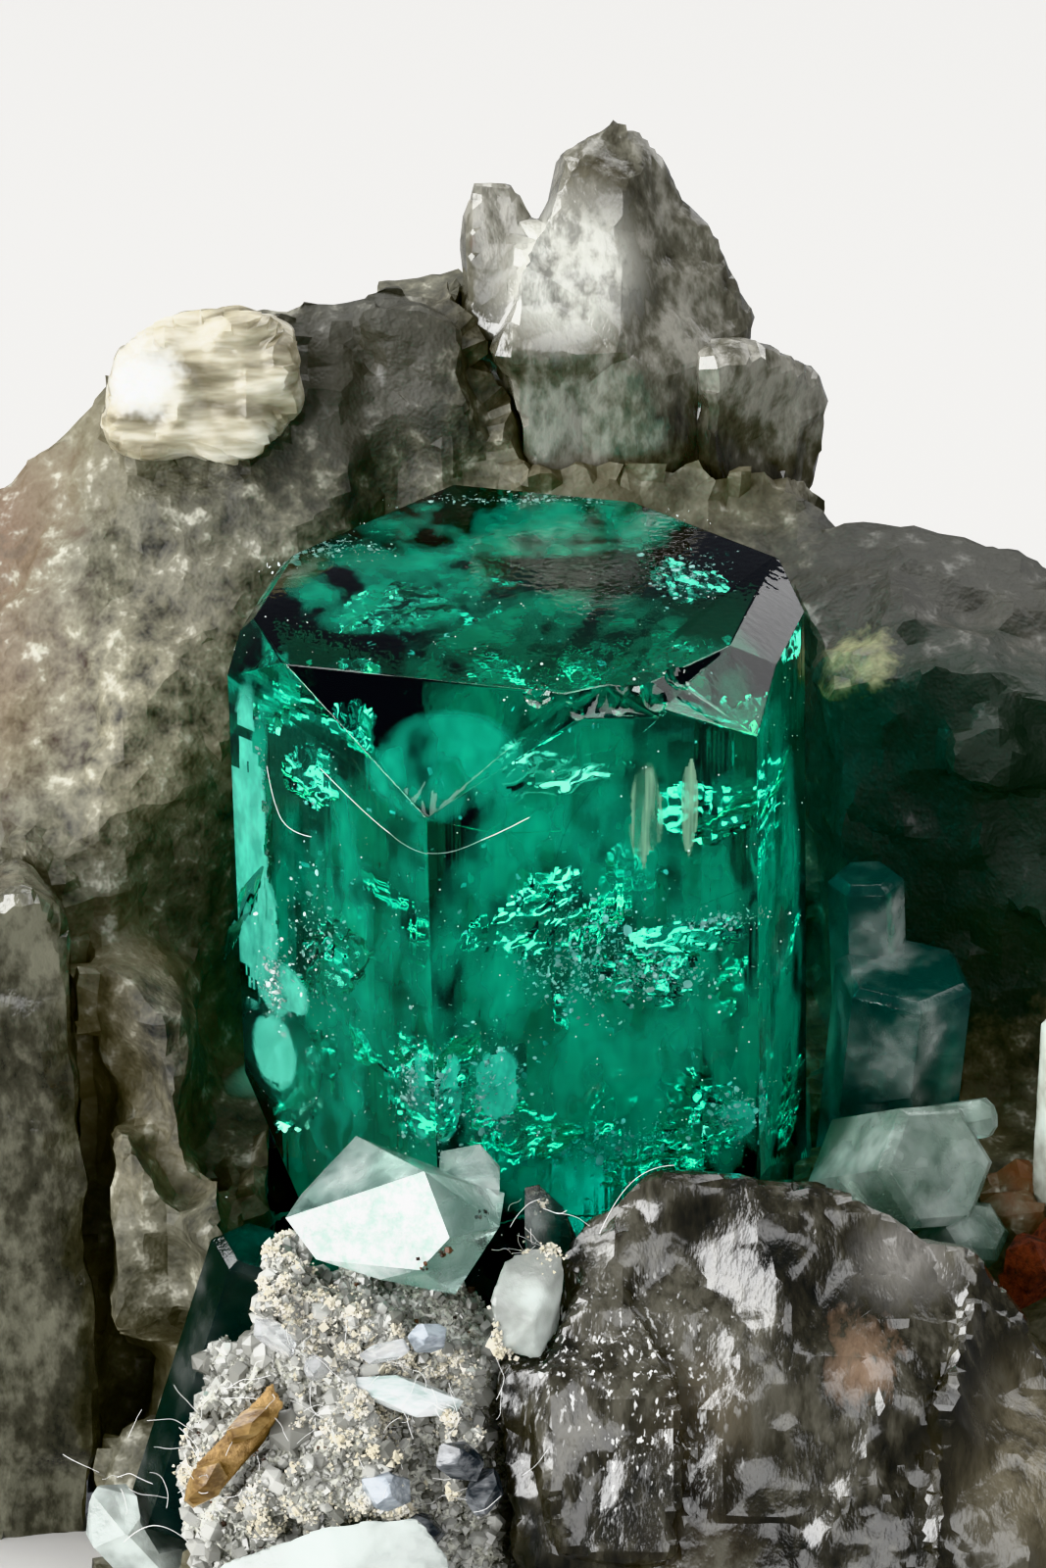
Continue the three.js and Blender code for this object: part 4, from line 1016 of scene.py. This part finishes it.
# Where hairs cling: middle, spread, number and length in millimetres.
HAIRS = [
    ((-6.7, -9.9, 7.4), 0.7, 26, 0.9), ((-4.6, -9.6, 9.0), 0.6, 14, 0.8), ((-1.8, -9.9, 7.6), 0.9, 34, 0.9),
    ((0.3, -7.6, 11.7), 0.4, 12, 0.9), ((-2.9, -9.8, 6.6), 0.5, 12, 0.7), ((-3.0, -9.4, 8.7), 0.8, 12, 0.9),
]
# The long hairs, each as its bends.
LONG_HAIRS = [
    [(-4.0, -4.4, 20.3), (-3.0, -4.9, 19.4), (-2.1, -5.3, 18.9), (-1.0, -5.45, 19.0), (0.2, -5.6, 19.8)],
    [(-5.1, -3.5, 19.9), (-5.0, -3.6, 19.2), (-4.7, -3.9, 18.6), (-4.2, -4.1, 18.6)],
    [(1.6, -9.0, 12.2), (1.9, -8.8, 12.9), (2.6, -8.2, 13.3), (3.1, -8.0, 13.2)],
    [(-8.0, -10.2, 5.7), (-7.6, -10.3, 6.2), (-7.0, -10.3, 6.1), (-6.7, -10.2, 5.7)],
]


def hair(bends, thickness=HAIR):
    curve = bpy.data.curves.new("hair", "CURVE")
    curve.dimensions = "3D"
    curve.bevel_depth = thickness
    curve.bevel_resolution = 0
    curve.use_fill_caps = True
    line = curve.splines.new("NURBS")
    line.points.add(len(bends) - 1)
    line.order_u, line.resolution_u, line.use_endpoint_u = 3, 5, True
    for point, bend in zip(line.points, bends):
        point.co = (*spot(*bend), 1)
    made = bpy.data.objects.new("hair", curve)
    bpy.context.collection.objects.link(made)
    take(made)
    bpy.ops.object.convert(target="MESH")
    return made


chance = np.random.default_rng(51)
hairs = [hair(bends) for bends in LONG_HAIRS]
for middle, spread, count, length in HAIRS:
    for _ in range(count):
        way = chance.normal(size=3)
        bends = [np.array(middle) + chance.normal(size=3) * spread * (1, 0.3, 1)]
        for _ in range(4):
            way = way / np.linalg.norm(way) + chance.normal(size=3) * 0.35
            bends.append(bends[-1] + way * length / 5)
        hairs.append(hair(bends, HAIR * 0.7))
hairs = together(hairs, "dust_hairs")
in_box(hairs)
cracks = together([hair(bends, CRACK_EDGE) for bends in CRACKS], "emerald_crack_edges")
finished(cracks, feather_skin(), "emerald", smooth=60)
hair_paint = Finish("dust hairs")
hair_paint.surface(hair_paint.node("BsdfPrincipled", None, Base_Color=(0.9, 0.9, 0.88, 1), Roughness=0.5))
finished(hairs, hair_paint.material, "calcite", smooth=60)

speck_places = [
    spot(*(np.array(place) + chance.normal(size=3) * 0.07)) for place in SPECKS for _ in range(5)
]
speck_places += [Vector(place) for place in surface_places(crust, 260, 52, lambda at: at.y < seen_side)]
speck_sizes = np.exp(chance.normal(-3.2, 0.4, len(speck_places))) * MM
specks = scattered("dark_specks", small_bead(), np.array(speck_places), speck_sizes, 53)
dust_places = surface_places(
    emerald, DUST_GRAINS, 54, lambda at: at.y < axis_y and at.z > base_z + 10 * MM
)
dust_sizes = np.exp(chance.normal(-4.4, 0.4, DUST_GRAINS)) * MM
dust = scattered("white_dust", small_bead(), dust_places, dust_sizes, 55)
in_box(dust)
finished(dust, crystal_grain("white dust", [(0.7, 0.8, 0.75), (1.0, 1.0, 1.0)], 0.0, 0.6), "calcite")
in_box(specks)
speck_paint = crystal_grain("dark specks", [(0.01, 0.01, 0.01), (0.12, 0.05, 0.02)], 0.0, 0.5)
finished(specks, speck_paint, "brown_rock")


# A plain pale floor, soft studio lights with a faint even sky, and the camera at the photo's angle. The floor
# is left out of mirror reflections, so that the emerald's faces stay clear.
VIEW_TILT = 26.5
VIEW_DISTANCE = 150
VIEW_TARGET = (0.07, 0, 17.75)
LENS = 165.95
LIGHT_TARGET = (0, 0, 12)
LIGHT_DISTANCE = 0.25

floor_paint = Finish("pale floor")
floor_paint.surface(
    floor_paint.node("BsdfPrincipled", None, Base_Color=(0.6, 0.59, 0.57, 1), Roughness=0.6)
)
bpy.ops.mesh.primitive_plane_add(size=4, location=(0, 0, base_z))
floor = bpy.context.object
floor.name = "floor"
floor.data.materials.append(floor_paint.material)
floor.visible_glossy = False


def softbox(name, way, size, power):
    """A square light in this direction from the specimen, facing it."""
    light = bpy.data.lights.new(name, "AREA")
    light.shape, light.size, light.energy = "SQUARE", size, power
    lamp = bpy.data.objects.new(name, light)
    bpy.context.collection.objects.link(lamp)
    direction = Vector(way).normalized()
    lamp.location = spot(*LIGHT_TARGET) + direction * LIGHT_DISTANCE
    lamp.rotation_euler = direction.to_track_quat("Z", "Y").to_euler()


softbox("overhead", (0.1, 0.35, 0.95), 0.2, 0.45)
softbox("key left", (-0.9, -0.75, 0.45), 0.16, 0.82)
softbox("front", (0.3, -1.0, 0.42), 0.14, 0.2)
softbox("back left", (-0.85, 0.15, 0.95), 0.14, 0.45)
softbox("right back", (0.65, 0.5, 0.56), 0.22, 0.3)

world = bpy.data.worlds.new("studio")
bpy.context.scene.world = world
world.use_nodes = True
sky = world.node_tree.nodes["Background"]
sky.inputs["Color"].default_value = (0.9, 0.93, 1, 1)
sky.inputs["Strength"].default_value = 0.28

camera_data = bpy.data.cameras.new("camera")
camera_data.lens = LENS
camera_data.sensor_width = 36
camera_data.clip_start = 0.005
camera = bpy.data.objects.new("camera", camera_data)
bpy.context.collection.objects.link(camera)
tilt = math.radians(VIEW_TILT)
camera.location = spot(*VIEW_TARGET) + Vector((0, -math.cos(tilt), math.sin(tilt))) * VIEW_DISTANCE * MM
camera.rotation_euler = (math.pi / 2 - tilt, 0, 0)
bpy.context.scene.camera = camera
paths = bpy.context.scene.cycles
paths.max_bounces = 5
paths.diffuse_bounces = 1
paths.glossy_bounces = 2
paths.transmission_bounces = 5
paths.transparent_max_bounces = 10
bpy.context.scene.view_settings.view_transform = "Khronos PBR Neutral"
